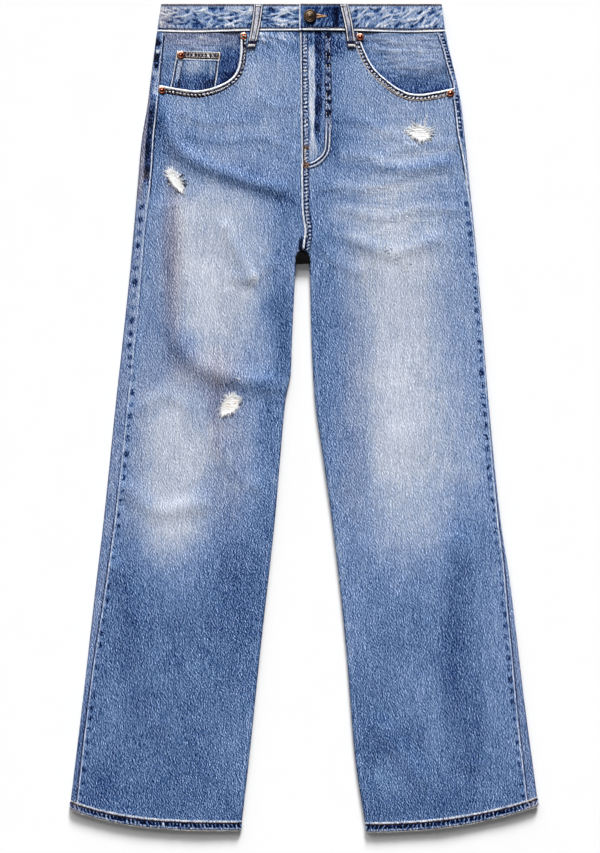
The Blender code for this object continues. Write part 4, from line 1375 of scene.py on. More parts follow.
def paint_centre(s, a, x, drop):
    """A rubbed edge beside a row of ribs, with the painted shade of the crotch reaching up its
    outside and painted shade in its stitch grooves.
    """
    ribs = teeth(s, a, 4.8, 0.35, 71)
    rib_band = band(a, 5.9, 2.7, 0.9)
    shade = band(a, -3.2, 2.6, 1.4) * smooth_step(drop, 296, 303)
    shade = shade + band(a, 3.4, 1.6, 1.0) * smooth_step(drop, 280, 300)
    # dark lines in the stitch grooves: painted shade
    seams = band(a, 2.7, 0.8) + 0.9 * band(a, 9.4, 0.8) + 0.9 * band(a, -1.0, 0.6)
    groove = np.clip(seams + shade, 0, 1)
    tone = layered(
        front_tone(x, drop),
        (rib_band, 0.40 + 0.34 * ribs),
        (0.95 * groove, 0.02),
        (band(a, 0.8, 1.1), 0.88 + 0.10 * noise(s, a, 2.6, 72)),
    )
    return tone, 0.3 * groove + 0.08 * rib_band, 0.16 * ribs * rib_band


def add_centre_seam():
    """Stands proud of the middle line, and swings to the left just above the crotch."""
    drops = np.linspace(FLY_FOOT - 1, CROTCH - 0.5, 80)
    line = inner_line(LEFT, drops, GAP / 2 + 3.4 * bump(drops, 291, 17) - 0.6)
    return add_strip("centre_seam", LEFT, line, CENTRE_HEIGHTS, paint_centre)


SIDE_HEIGHTS = (
    (-9, 0.05), (-6, 0.22), (-1.6, 0.20), (-0.9, 0.05), (0.1, 0.5), (1.0, 0.5), (1.8, 0.08),
    (4, 0.2), (8, 0.04),
)


def add_side_seam(leg, part, start, end, reach_in, step):
    """The felled edge of the side seam, over the back where it wraps round to the front."""
    low = SIDE_HEIGHTS[0][0]
    drop = np.linspace(start, end, int((end - start) / step))[:, None]
    a = np.linspace(low, reach_in, int((reach_in - low) / FINE))[None, :]
    a = np.maximum(a, 0.6 - arc_at(read(SEAM_OFFSET, leg, drop)))
    out, drop = np.broadcast_arrays(seam_place(leg, drop, a), drop)
    points, faces = front_surface(leg, out, drop)
    tone, warm, spots = side_paint(leg, drop, a, leg.sign * out)
    height = profile(a, SIDE_HEIGHTS) - 0.15 * spots + 0.12 * noise(drop, a, 3.0, 38)
    points = points + height[..., None] * faces
    return add_cloth(f"side_seam_{leg.name}_{part}", points, faces, SEAM_WALL, tone, warm)


INSEAM_HEIGHTS = ((0.6, 0.0), (2.0, 0.2), (4.6, 0.3), (6.2, 0.02), (7.6, 0.16), (10.0, 0.04))


def paint_inseam(s, a, x, drop):
    on_right = x.mean() < 0
    strength = smooth_step(drop, 380, 560) if on_right else 0.5 * smooth_step(drop, 330, 380)
    ribs = noise(s, a * 0.5, 5.0, 91)
    # a dark line in the stitch groove: painted shade
    groove = band(a, 6.2, 0.6) * strength
    tone = (front_tone(x, drop) + 0.05 * ribs) * (1 - 0.35 * groove) + 0.05 * groove
    tone = tone + 0.10 * band(a, 5.0, 0.8) * strength + 0.08 * band(a, 1.2, 0.8)
    return tone, 0.1 * groove, 0.05 * ribs


def add_inseam(leg):
    line = inner_line(leg, np.linspace(CROTCH + ARCH_RISE + 10, leg.hem - 16, 260))
    return add_strip(f"inseam_{leg.name}", leg, line, INSEAM_HEIGHTS, paint_inseam, cell=1.5)


# Hems.

HEM_WALL = 0.4
HEM_UP = np.arange(0.0, 13.2, 0.8)  # rows of the hem, up from its edge
HEM_HEIGHTS = (
    (0, 0.0), (0.8, 0.6), (2.2, 0.85), (4, 0.7), (7.5, 0.8), (9.3, 0.25), (10.6, 0.5), (12, 0.1),
    (13, 0.05),
)


def hem_columns(count):
    """Even columns, with the roll at each side left to its own arc."""

    def columns(leg, drop):
        arc = np.linspace(0, 1, count) * HEM_SPAN
        end = outer_edge(leg, drop) - reach(TIP_ARC + np.minimum(arc, HEM_ROLL))
        start = inner_edge(leg, drop) + reach(TIP_ARC + np.minimum(HEM_SPAN - arc, HEM_ROLL))
        return end + (start - end) * np.clip((arc - HEM_ROLL) / (HEM_SPAN - 2 * HEM_ROLL), 0, 1)

    return columns


def add_hem(leg, under):
    """The hem turned up twice, roped by its stitching and rubbed pale along its edge."""
    out, drop = grid(leg, leg.hem - HEM_UP, hem_columns(int(HEM_SPAN / (1.6 if under else 1.1))))
    points, faces = surface(leg, out, drop, under=under)
    s, a = np.broadcast_arrays(out, HEM_UP[:, None])
    rib = np.tanh(3.0 * (teeth(s, a, 5.2, -0.25, 101 + leg.sign, 1.1) - 0.5))
    rib_band = band(a, 5.4, 2.9, 1.0)
    knots = noise(s, a, 4.5, 106)
    roped = 0.27 + 0.42 * rib * (0.85 + 0.5 * knots) + 0.10 * knots
    stitch = band(a, 9.2, 1.2)
    upper = band(a, 11.2, 1.0 + 0.5 * noise(s, a, 2.2, 107), 0.8)
    edge = band(a, 0.6, 2.7, 1.2)
    ends = 1 - smooth_step(outer_edge(leg, drop) - out, 4, 26)
    tone = layered(
        (back_tone if under else front_tone)(leg.sign * out, drop),
        (rib_band, np.minimum(roped, 0.74)),
        (stitch, 0.03),
        (upper, 0.76 + 0.18 * noise(s, a, 3.0, 103)),
        (edge, 0.50 + 0.34 * noise(s, a, 1.8, 104)),
        (0.6 * ends * (1 - stitch), 0.60 + 0.2 * rib * rib_band),
    )
    warm = 0.8 * stitch + 0.2 * edge + 0.3 * ends
    height = profile(a, HEM_HEIGHTS) + 0.3 * rib * rib_band
    if under:
        height = np.minimum(height, 0.0)
        points = points + (0, 0, 0.35)
    points = points + height[..., None] * faces
    points[0, :, 1] += 0.8 * noise(s[0], 0, 1.8, 105)
    where = "back" if under else "front"
    return add_cloth(f"hem_{where}_{leg.name}", points, faces, HEM_WALL, tone, warm)


# The waistband.


def band_surface(leg, out, drop, under=False):
    return surface(leg, out, drop, under, BAND_TOP, band_height, folds=False)


def waist_drop(leg, outs, part):
    """Drop of a place on the waistband, from its top edge, 0, to the seam at its foot, 1."""
    return (warp(leg, across_leg(leg, outs, WAIST), WAIST) - GAP) * part


def band_side(leg, part, step=1.15):
    """From its end at the front, over the front, round the side and in to the middle back."""
    arcs = np.array([TIP_ARC, 1.2, 2.4, 3.6, 4.8, ROLL_ARC])
    tip = outer_edge(leg, WAIST * part) - reach(arcs)
    over = np.linspace(BAND_ENDS[leg.name], tip[-1], int(210 / step))
    over = np.concatenate([over, tip[-2:0:-1]])
    below = np.concatenate([tip, np.linspace(tip[-1], 0.0, 60)[1:]])
    sides = (
        band_surface(leg, out, waist_drop(leg, out, part), under)
        for out, under in ((over, False), (below, True))
    )
    both = [np.concatenate(pair) for pair in zip(*sides)]
    return (*both, np.arange(len(over) + len(below)) >= len(over))


def marble(x, v, low, high, lean, half, count, seed):
    """Light strokes and dark hollows of a band that was washed hard, over part of its length: wash
    wear on the strokes, and painted shade in the hollows.
    """
    box = (low, high, 3.0, 29.0)
    v = v + 2.2 * noise(x, v, 13.0, seed + 2)
    pale = strokes(x, v, seed, count, box, lean, half, 0.85)
    dark = strokes(x, v, seed + 1, count, box, lean, (2.2, 4.8), 1.7)
    shown = smooth_step(x, low - 3, low + 1) * step_down(x, high - 1, high + 3)
    return (0.44 * pale - 0.56 * dark * (1 - pale)) * shown


BAND_TONES = (
    (-190, 0.58), (-150, 0.57), (-110, 0.55), (-70, 0.54), (-40, 0.57), (-12, 0.56), (-2, 0.48),
    (4, 0.23), (40, 0.22), (52, 0.38), (70, 0.52), (110, 0.55), (150, 0.55), (185, 0.56),
)
BAND_HEIGHTS = (
    (0, -0.7), (0.7, -0.1), (1.6, 0.1), (3, 0.15), (30, 0.15), (31.3, -0.3), (33, 0.35),
    (34.4, 0.2), (35, -0.3),
)


def add_band():
    parts = [0.0, 0.018, 0.04, 0.07, 0.11, *np.linspace(0.15, 0.87, 22)]
    parts = np.array([*parts, 0.90, 0.925, 0.95, 0.97, 0.985, 1.0])
    rows = []
    for part in parts:
        pairs = zip(band_side(LEFT, part), band_side(RIGHT, part))
        rows.append([np.concatenate([a, b[-2::-1]]) for a, b in pairs])
    points, faces, is_under = (np.array([row[i] for row in rows]) for i in range(3))
    x, v = points[..., 0], np.broadcast_to(parts[:, None] * WAIST, points.shape[:2])
    on_top = ~is_under
    inner = band(v, 16.5, 13.0, 3.0)
    creases = marble(x, v, -192, -7, (-4, 18), (5.0, 12.0), 120, 111)
    creases = creases + marble(x, v, 46, 190, (-36, 12), (5.0, 13.0), 100, 113)
    on_lap = 1.3 * marble(x, v, -4, 44, (-62, 14), (4.0, 10.0), 20, 115)
    creases = creases + np.maximum(on_lap, -0.06)
    creases = np.where(on_top, creases, 0.2 * noise(x, v, 7.0, 116))
    tone = np.where(on_top, profile(x, BAND_TONES), 0.44)
    tone = tone + creases * inner + 0.03 * noise(x, v, 8.0, 118)
    # painted shadow of the two front belt loops, on the band beside each
    for place, width in ((-46, 4.5), (42, 3.5)):
        tone = tone - 0.24 * bump(x, place, width) * on_top * inner
    foot = teeth(x, v, 5.5, 0.3, 117) * band(v, 28.0, 2.0, 1.5)
    tone = tone + 0.12 * foot + 0.08 * teeth(x, v, 4.6, 0.4, 119) * band(v, 4.0, 2.0, 1.5)
    # painted shade in the groove of the lower stitching and along the band's foot
    line = band(v, 31.0, 0.9) * (0.75 + 0.4 * teeth(x, v, 3.4, 0.0, 124)) + band(v, 35.0, 0.8)
    line = np.clip(line, 0, 1)
    top = band(v, 0.4, 2.0, 0.6)
    pale = band(v, 33.2, 1.0 + 0.25 * noise(x, 0, 14.0, 120), 0.5)
    # the band's own end at the front, which is the first part of each row
    at_end = on_top & (np.arange(x.shape[1]) < 40)
    end_edge = bump(x, BAND_ENDS["left"] + 0.9, 1.0) * at_end
    end_line = bump(x, BAND_ENDS["left"] + 3.6, 0.7) * at_end
    tone = layered(
        tone,
        (line, 0.04),
        (pale, 0.94 + 0.06 * noise(x, v, 2.5, 121)),
        (top, 0.16 + 0.12 * teeth(x, v, 2.6, 0.0, 122)),
        (0.7 * band(v, 3.2, 0.7), 0.66),
        (end_edge, 0.92),
    )
    tone = tone * (1 - 0.8 * end_line) + 0.10 * end_line
    warm = 0.85 * top + 0.5 * line + 0.40 * smooth_step(-x, 140, 190) * on_top * inner
    height = 1.3 * creases * inner + 0.25 * foot + profile(v, BAND_HEIGHTS)
    height = np.where(on_top, height, np.minimum(height, 0.0) * 0.5)
    return add_cloth(
        "denim_waistband", points + height[..., None] * faces, faces, BAND_WALL, tone, warm,
        DENIM_BAND, node="waistband",
    )


# Belt loops, coin pocket and back pockets.


UP, DOWN = (0.0, 0.0, 1.0), (0.0, 0.0, -1.0)
LOOP_HEIGHTS = ((0, 0.15), (0.5, 0.1), (0.68, -0.15), (0.85, 0.3), (0.95, 0.2), (1.0, -0.3))


def add_front_loop(loop):
    """Stands a little off the waistband, with its foot sewn to the front."""
    leg = loop.leg
    v = np.linspace(0, 1, 76)[:, None]
    width = loop.top_width + (loop.foot_width - loop.top_width) * v
    a = width * np.linspace(-0.5, 0.5, 21)
    bow = 1.2 * np.sin(math.pi * v) * leg.sign
    out = loop.top_out + (loop.foot_out - loop.top_out) * v + a + bow
    drop = np.broadcast_to(LOOP_START + (LOOP_FOOT - LOOP_START) * v, out.shape)
    points, _ = band_surface(leg, out, drop)
    on_front, _ = front_surface(leg, out, drop)
    off_band = (on_front[..., 2] - points[..., 2]) * smooth_step(drop, WAIST, WAIST + 8)
    points[..., 2] += off_band + GAP + TRIM_WALL + LOOP_ARCH * np.sin(math.pi * v)
    points[..., 2] += profile(np.abs(a) / width * 2, LOOP_HEIGHTS) + 0.18 * noise(drop, a, 5.0, 131)
    inward = width / 2 - np.abs(a)
    groove = band(inward, 3.0, 0.75, 0.4) * (0.85 + 0.3 * noise(drop, a, 4.0, 135))
    # dark along the loop's edges: painted shade
    rim = band(inward, 0.2, 0.65, 0.4)
    bar = np.clip(band(drop, 49.6, 2.0, 1.0) + band(drop, 56.2, 0.9), 0, 1)
    tone = 0.75 + 0.12 * noise(drop, a, 4.0, 132) + 0.10 * noise(drop, a, 1.8, 133)
    tone = layered(
        tone - (0.26 if leg is LEFT else 0.0) * smooth_step(drop, 22, 34),
        (groove, 0.06),
        (band(inward, 1.6, 0.85, 0.4), 0.88 + 0.12 * noise(drop, a, 3.0, 134)),
        (rim, 0.04),
        (0.9 * bar, 0.05),
        (band(drop, 53.2, 1.6, 0.8) * (1 - rim), 0.84),
    )
    name = f"loop_front_{leg.name}"
    return add_cloth(
        f"denim_{name}", points, UP, TRIM_WALL, tone, 0.32 + 0.3 * groove + 0.2 * bar,
        DENIM_BAND, node=f"belt_{name}",
    )


def add_back_loop(where, x):
    v = np.linspace(LOOP_START, LOOP_FOOT, 48)[:, None]
    a = np.linspace(-BACK_LOOP_WIDTH / 2, BACK_LOOP_WIDTH / 2, 13)
    height = 0.02 + 0.35 * (2 * np.abs(a) / BACK_LOOP_WIDTH) ** 6
    points = np.stack(np.broadcast_arrays(x + a, LENGTH / 2 - v, height), axis=-1)
    tone = (0.50 + 0.08 * noise(v, a, 4.0, 136)) * (1 - 0.6 * band(np.abs(a), 4.0, 0.6))
    tone = tone + 0.2 * band(np.abs(a), 5.4, 0.7)
    name = f"loop_back_{where}"
    return add_cloth(
        f"denim_{name}", points, DOWN, TRIM_WALL - 0.02, tone, 0.15,
        DENIM_BACK, "denim_back", node=f"belt_{name}",
    )


COIN_SIDES = ((0, -0.4), (0.8, 0.15), (1.8, 0.2), (2.6, -0.1), (4, 0.15), (6, 0.05))
COIN_HEAD = ((0, -0.3), (0.8, 0.3), (1.8, 0.05), (5.5, 0.35), (9.6, 0.05), (11, 0.3), (12.5, 0.0))


def patch_places(top_left, top_right, foot_left, foot_right, foot_line, columns, rows):
    """A grid between a straight top and a foot that follows a line of places."""
    u, v = np.linspace(0, 1, columns), np.linspace(0, 1, rows)[:, None]
    top_out = top_left.out + (top_right.out - top_left.out) * u
    top_drop = top_left.drop + (top_right.drop - top_left.drop) * u
    foot_out = foot_left + (foot_right - foot_left) * u
    foot_drop = np.interp(foot_out, *foot_line)
    return top_out + (foot_out - top_out) * v, top_drop + (foot_drop - top_drop) * v


def add_coin_pocket():
    """Lies on the right facing and ends at the edge of the front's pocket mouth."""
    line = mouth_line(RIGHT)
    low = line[line[:, 0] > 100] - (0, 1.5 * GAP)
    out, drop = patch_places(*COIN_TOP, *COIN_FOOT, low.T, 72, 62)
    points, faces = facing_surface(RIGHT, out, drop)
    down = drop - drop[:1]
    inner, outer = out - out[:, :1], out[:, -1:] - out
    side = np.minimum(inner, outer)
    folds = noise(out, down * 0.12, 6.0, 141)
    height = COIN_LIFT + WALL + profile(side, COIN_SIDES) + profile(down, COIN_HEAD)
    height = height + 0.3 * folds * smooth_step(down, 12, 16)
    body = smooth_step(down, 11, 14)
    tone = 0.64 + 0.13 * folds * body + 0.05 * noise(out, drop, 3.0, 142)
    tone = tone - 0.20 * smooth_step(-out, -136, -116)
    tone = tone - 0.31 * smooth_step(down, 22, 40) - 0.06 * body * band(inner, 46, 5, 4)
    strip = band(outer, 7.5, 2.0, 1.2) * body * step_down(down, 34, 42)
    streaks = band(inner, 8.0, 4.5, 3.0) * body * step_down(down, 30, 42)
    tone = blend(tone, 0.68, strip)
    tone = tone + streaks * (0.10 + 0.25 * noise(out, down * 0.1, 2.6, 146))
    head = band(down, 5.8, 4.2, 0.8)
    ticks = np.clip(teeth(out, down, 4.8, 0.0, 143), 0, 1) * band(down, 5.4, 1.9, 0.8)
    ticks = ticks * (outer > 11) * (0.7 + 0.5 * noise(out, down, 5.0, 144))
    # dark lines in the stitch grooves: painted shade
    lines = band(side, 3.0, 1.0) + band(down, 2.3, 0.5) + band(down, 9.4, 0.6)
    lines = lines + (band(down, 12.4, 0.6) + 0.9 * band(outer, 10.6, 0.8)) * body
    lines = np.clip(lines, 0, 1)
    pale = band(side, 1.3, 0.9) + band(down, 1.1, 0.8) + band(down, 10.9, 0.9)
    pale = np.clip(pale + 0.5 * band(outer, 5.0, 0.8) * body, 0, 1)
    tone = layered(
        tone,
        (head, 0.17 + 0.74 * ticks),
        (0.92 * lines, 0.04),
        (pale, 0.86 + 0.12 * noise(out, drop, 2.5, 145)),
        # painted shade along the pocket's raised top and side edges
        (band(np.minimum(side, down), 0.0, 0.5, 0.3), 0.04),
    )
    warm = 0.95 * head * (1 - 0.8 * np.clip(ticks, 0, 1)) + 0.3 * lines
    points = points + height[..., None] * faces
    return add_cloth("denim_coin_pocket", points, faces, WALL, tone, warm, node="coin_pocket")


POCKET_SINK = ((0, 0.45), (0.9, 0.05), (2.2, 0.0), (3.0, 0.14), (4.5, 0.0), (8, 0.02))


def add_back_pocket(leg):
    """A patch with a pointed foot, turned under and sewn down all round."""
    left, right, *foot = BACK_POCKET
    foot = np.array(foot[::-1], float)
    out, drop = patch_places(left, right, foot[0, 0], foot[-1, 0], foot.T, 52, 60)
    outline, _ = resample(closed(np.array(BACK_POCKET, float)), 2.0)
    inside = np.abs(signed_distance(outline, out, drop))
    height = 0.02 + profile(inside, POCKET_SINK)
    points = stacked(leg.sign * out, LENGTH / 2 - drop, height)
    ribs = noise(drop, inside, 5.0, 151) * band(inside, 5.0, 4.0, 2.0)
    groove = np.clip(band(inside, 3.0, 0.8) + band(inside, 9.0, 0.8), 0, 1)
    tone = (back_tone(leg.sign * out, drop) + 0.04 + 0.10 * ribs) * (1 - 0.4 * groove)
    tone = tone + 0.20 * band(inside, 0.8, 1.0)
    return add_cloth(
        f"denim_pocket_back_{leg.name}", points, DOWN, TRIM_WALL - 0.05, tone, 0.05,
        DENIM_BACK, "denim_back", node=f"back_pocket_{leg.name}",
    )


# Metal.


def add_turned(node, outline, tones, x, drop, look, slot, sides, squash=0.0):
    """A profile of (radius, height) turned about an upright axis, on the CAD node's own seat."""
    low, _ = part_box(node)
    radius, height = np.array(outline, float).T
    angle = 2 * math.pi * np.arange(sides) / sides
    wobble = 1 + squash * np.cos(2 * angle + 0.7)
    points = np.broadcast_arrays(
        x + radius[:, None] * np.cos(angle) * wobble,
        LENGTH / 2 - drop + radius[:, None] * np.sin(angle),
        low.z / MM + height[:, None],
    )
    count = len(radius)
    index = np.arange(count * sides).reshape(count, sides)
    after = np.roll(index, -1, axis=1)
    faces = np.stack([index[:-1], after[:-1], after[1:], index[1:]], axis=-1).reshape(-1, 4)
    faces = [*faces.tolist(), index[0, ::-1].tolist(), index[-1].tolist()]
    # tone by radius; the cosine term paints one side of each piece lighter, a painted highlight
    tone = np.repeat(profile(radius, tones), sides) + 0.32 * np.tile(np.cos(angle - 2.2), count)
    points = np.stack(points, axis=-1).reshape(-1, 3)
    piece = add_mesh(f"metal_{node}", points, faces, look, slot, smooth=35, tone=tone)
    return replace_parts(piece, node)


RIVET_OUTLINE = (
    (4.7, 0.0), (4.95, 0.2), (4.95, 0.6), (4.5, 0.95), (3.95, 1.15), (3.5, 1.2), (3.0, 1.1),
    (2.6, 0.8), (2.2, 0.65), (1.7, 0.75), (1.3, 1.05), (0.9, 1.35), (0.5, 1.5), (0.1, 1.55),
)
# The rivet's tone by radius: tarnish in its hollows, and a bright ring that is partly rubbed and
# partly a painted highlight.
RIVET_TONES = (
    (0, 0.3), (0.9, 0.0), (1.6, 0.25), (2.6, 0.1), (3.3, 0.6), (3.9, 1.0), (4.5, 0.45), (4.9, 0.0),
)
RIVETS = {
    "coin": (RIGHT, 157.8, 65.9),
    "right_waist": (RIGHT, 77.6, 41.6),
    "right_side": (RIGHT, 182.0, 110.6),
    "left_waist": (LEFT, 71.6, 42.6),
    "left_side": (LEFT, 187.0, 114.4),
}
BUTTON_OUTLINE = (
    (2.8, 0.0), (3.0, 0.2), (3.0, 2.6), (7.6, 2.7), (8.3, 2.9), (8.5, 3.3), (8.5, 3.9),
    (8.2, 4.4), (7.8, 4.7), (7.3, 4.75), (6.8, 4.6), (6.4, 4.2), (6.1, 3.95), (5.7, 3.95),
    (5.4, 4.15), (5.1, 4.35), (4.8, 4.35), (4.5, 4.15), (4.2, 4.0), (3.8, 4.0), (3.5, 4.15),
    (3.2, 4.45), (2.8, 4.6), (2.4, 4.55), (2.0, 4.4), (1.5, 4.5), (0.9, 4.75), (0.4, 4.9),
    (0.1, 4.92),
)
# The button's tone by radius: tarnish in its hollows, and bright ridges that are partly rubbed and
# partly painted highlights.
BUTTON_TONES = (
    (0, 0.6), (1.4, 0.2), (2.4, 0.62), (3.4, 0.12), (4.4, 0.5), (5.2, 0.62), (6.0, 0.1),
    (7.0, 0.55), (7.6, 0.3), (8.2, 0.0),
)


# Rips.


# Where dark tufts stand out of each rip: degrees from down towards out, number and length.
RIP_TUFTS = {
    "thigh": (
        (-110, 4, 10.0), (-75, 5, 10.0), (-45, 3, 7.0), (-20, 7, 9.0), (10, 4, 5.0), (70, 4, 6.0),
        (95, 3, 6.0),
    ),
    "knee": (
        (-100, 4, 6.0), (-140, 4, 4.0), (5, 6, 8.0), (25, 4, 7.0), (100, 4, 4.0), (150, 3, 4.0),
    ),
    "hip": (
        (0, 7, 6.0), (-35, 5, 5.0), (40, 5, 5.0), (-150, 4, 5.0), (-90, 3, 4.0), (90, 3, 4.0),
    ),
}


def loose_thread(threads, leg, start, end, radius, tone, bow, steps=4):
    """One loose thread between two places, bowed up and lying on the cloth at its ends."""
    t = np.linspace(0, 1, steps)[:, None]
    line = np.array(start) + (np.array(end) - np.array(start)) * t
    line = line + threads.random.normal(0, 0.35, (steps, 2)) * np.sin(math.pi * t)
    points, faces = front_surface(leg, line[:, 0], line[:, 1])
    points = points + (0.1 + bow * np.sin(math.pi * t)) * UP
    threads.add(points[:-1], points[1:], faces[:-1], radius, tone)


def add_rip(rip):
    """White weft left across the hole, its frayed ends, and dark warp ends round it."""
    ring = rip_outline(rip)
    low, high = ring.min(0), ring.max(0)
    white, dark = Threads(200 + int(rip.drop)), Threads(300 + int(rip.drop))
    random = white.random
    for drop in np.arange(low[1] - 0.6, high[1] + 0.6, 2.6):
        slope = 0.12 * math.sin(drop * 0.7) + 0.10
        outs = np.linspace(low[0] - 3, high[0] + 3, 90)
        drops = drop + slope * (outs - rip.out) * 0.5
        hit = within(ring, outs, drops)
        if not hit.any():
            continue
        ends = outs[hit][[0, -1]]
        past = random.uniform(0.2, 2.4, 2) * (-1, 1)
        start, end = zip(ends + past, np.interp(ends, outs, drops))
        tone = random.uniform(0.93, 1.0)
        if rip.name == "knee" and random.uniform() < 0.4:
            tone -= 0.5
        radius, bow = random.uniform(0.14, 0.22), random.uniform(0.0, 0.08)
        loose_thread(white, rip.leg, start, end, radius, tone, bow, 7)
    middle = np.array([rip.out, rip.drop])
    far = 7.5 if rip.name == "hip" else 5.4
    for place in ring[random.integers(0, len(ring), 200)]:
        way = (place - middle) / np.linalg.norm(place - middle)
        side = random.normal(0, 0.35, 2)
        start = place - way * random.uniform(0.5, 2.5)
        end = place + (way + side) * random.uniform(0.8, far)
        radius, tone = random.uniform(0.15, 0.30), random.uniform(0.86, 1.0)
        loose_thread(white, rip.leg, start, end, radius, tone, 0.3)
    for degrees, count, length in RIP_TUFTS[rip.name]:
        for _ in range(count):
            turn = math.radians(degrees + random.uniform(-24, 24))
            way = np.array([math.sin(turn), math.cos(turn)])
            path = middle + way * np.arange(2, 40, 0.5)[:, None]
            edge = path[~within(ring, *path.T)][0]
            end = edge + (way + random.normal(0, 0.25, 2)) * random.uniform(0.5, 1.0) * length
            radius, tone = random.uniform(0.25, 0.45), random.uniform(0.0, 0.45)
            loose_thread(dark, rip.leg, edge - way * 0.5, end, radius, tone, 0.2)
    threads = white.build(f"weft_threads_{rip.name}", WEFT, "weft")
    fray = dark.build(f"fray_{rip.name}", NAVY, "denim")
    return [add_bed(rip), threads, fray]


# Small rubbed marks: middle in X and drop, half sizes, strokes and how many of them are pale.
Scuff = namedtuple("Scuff", "x drop half_x half_drop turn strokes pale")
SCUFFS = rows_of(
    Scuff,
    (118, 326, 22, 7, 40, 46, 0.6), (102, 311, 5, 4, 0, 9, 0.8), (130, 268, 1.5, 6, 0, 7, 1.0),
    (155, 148, 0.8, 7, 14, 16, 1.0), (140, 149, 5, 1.5, 0, 7, 0.0), (-66, 351, 3, 6, 20, 9, 1.0),
    (-70, 360, 7, 2, 10, 8, 0.1), (-84, 479, 3, 2, 0, 7, 1.0), (-91, 482, 3, 4, 0, 8, 0.0),
    (33, 154, 2.4, 2.4, 0, 9, 1.0),
)


def paint_puckers(s, a, x, drop):
    """The cloth gathered into the waist seam: fine folds that fan out and fade."""
    box = (x.min() + 1, x.max() - 1, drop.min() + 1, drop.min() + 14)
    count, lean = int(0.62 * (box[1] - box[0])), (54, 12)
    pale = strokes(x, drop, 181, count, box, lean, (3.0, 7.0), 0.7)
    dark = strokes(x, drop, 182, count, box, lean, (3.0, 6.0), 0.9)
    # pale tops and dark hollows of the folds: painted light and shade; the same strokes raise the
    # cloth
    fold = (0.36 * pale - 0.26 * dark * (1 - pale)) * step_down(a, 11, 17)
    return front_tone(x, drop) + fold, 0.0, 0.8 * fold


def add_puckers(leg, start, end):
    outs = np.linspace(start, end, 60)
    drops = warp(leg, across_leg(leg, outs, WAIST), WAIST + GAP + 0.6)
    line, heights = stacked(outs, drops), ((0.0, 0.12), (12.0, 0.12), (18.0, 0.03))
    return add_strip(f"puckers_{leg.name}", leg, line, heights, paint_puckers, side=-1)


def add_scuffs(leg):
    """Fuzz that the cloth has shed where it was rubbed."""
    pale, dark = Threads(500 + leg.sign), Threads(510 + leg.sign)
    random = pale.random
    for scuff in (mark for mark in SCUFFS if mark.x * leg.sign > 0):
        for _ in range(scuff.strokes):
            away = random.uniform(-1, 1, 2) * (scuff.half_x, scuff.half_drop)
            x, drop = turned(*away, -scuff.turn)
            start = np.array([leg.sign * (scuff.x + x), scuff.drop + drop])
            end = start + random.normal(0, 1.0, 2) + (0.3, 0.8)
            threads = pale if random.uniform() < scuff.pale else dark
            radius, tone = random.uniform(0.25, 0.4), random.uniform(0.5, 1)
            loose_thread(threads, leg, start, end, radius, tone, 0.15)
    fuzz = pale.build(f"scuff_pale_{leg.name}", WEFT, "denim")
    return [fuzz, dark.build(f"scuff_dark_{leg.name}", NAVY, "denim")]


def add_crotch_shade():
    """A near-black sheet that stands up between the legs below the crotch: painted shade, raised so
    that it also casts a real shadow on the floor.
    """
    drop = np.linspace(304, 333, 26)[:, None]
    low, high = -inner_edge(RIGHT, drop) - 1.6, inner_edge(LEFT, drop) + 1.6
    x = low + (high - low) * np.linspace(0, 1, 18)
    drop = drop + 0.4 * noise(x, 0, 4.0, 171) * smooth_step(drop, 322, 333)
    z = 3.0 + 4.6 * smooth_step(drop, 304, 333) + 0.3 * noise(x, drop, 5.0, 172)
    points = stacked(x, LENGTH / 2 - drop, z)
    tone = -0.1 + 0.08 * noise(x, drop, 4.0, 173)
    return add_cloth("denim_crotch_shade", points, UP, 0.6, tone, 0.97, DENIM_SHADE, "denim_back")


def add_bed(rip):
    """The flat mass of worn weft at the bottom of the hole."""
    middle = np.array([rip.out, rip.drop])
    share = np.linspace(0.04, 1.06, 26)[:, None]
    places = middle + (closed(rip_outline(rip)) - middle) * share[..., None]
    out, drop = places[..., 0], places[..., 1]
    points, faces = front_surface(rip.leg, out, drop)
    fibre = noise(out * 0.25, drop + 0.15 * out, 1.1, 161)
    points = points + (0.05 + 0.04 * fibre)[..., None] * faces
    centre = 1 - (2 * np.minimum(share, 1) - 1) ** 2 * (share > 0.5)
    tone = 0.98 - RIP_SHADE[rip.name] * np.clip(2.0 * fibre - 0.05, 0, 1) * centre
    return add_cloth(
        f"weft_bed_{rip.name}", points, faces, 0.5, tone, 0.0, WEFT, "weft",
        node=f"weft_{rip.name}",
    )


# Stitching.


def sew_along(threads, line, lift, surface_at=front_surface, leg=LEFT, **stitch):
    """A row of stitches this far above the cloth, along a line of places on it."""
    points, up = surface_at(leg, line[:, 0], line[:, 1])
    threads.row(points + lift * up, up, **stitch)


def beside_line(line, distance):
    return np.stack(beside(resample(line, 2.0)[0], [distance]), axis=-1)[:, 0]


def level_line(start, end, count, drop):
    return stacked(np.linspace(start, end, count), np.full(count, drop))


def sew_front(leg):
    """The row of stitches along the pocket mouth."""
    threads = Threads(400 + leg.sign)
    stitch = dict(pitch=4.8, length=2.4, radius=0.6, tone=0.95, vary=0.2, skip=0.12)
    sew_along(threads, beside_line(mouth_seam(leg, 2, -3), -5.7), 0.75, leg=leg, **stitch)
    return threads.build(f"thread_front_{leg.name}", THREAD, "denim")


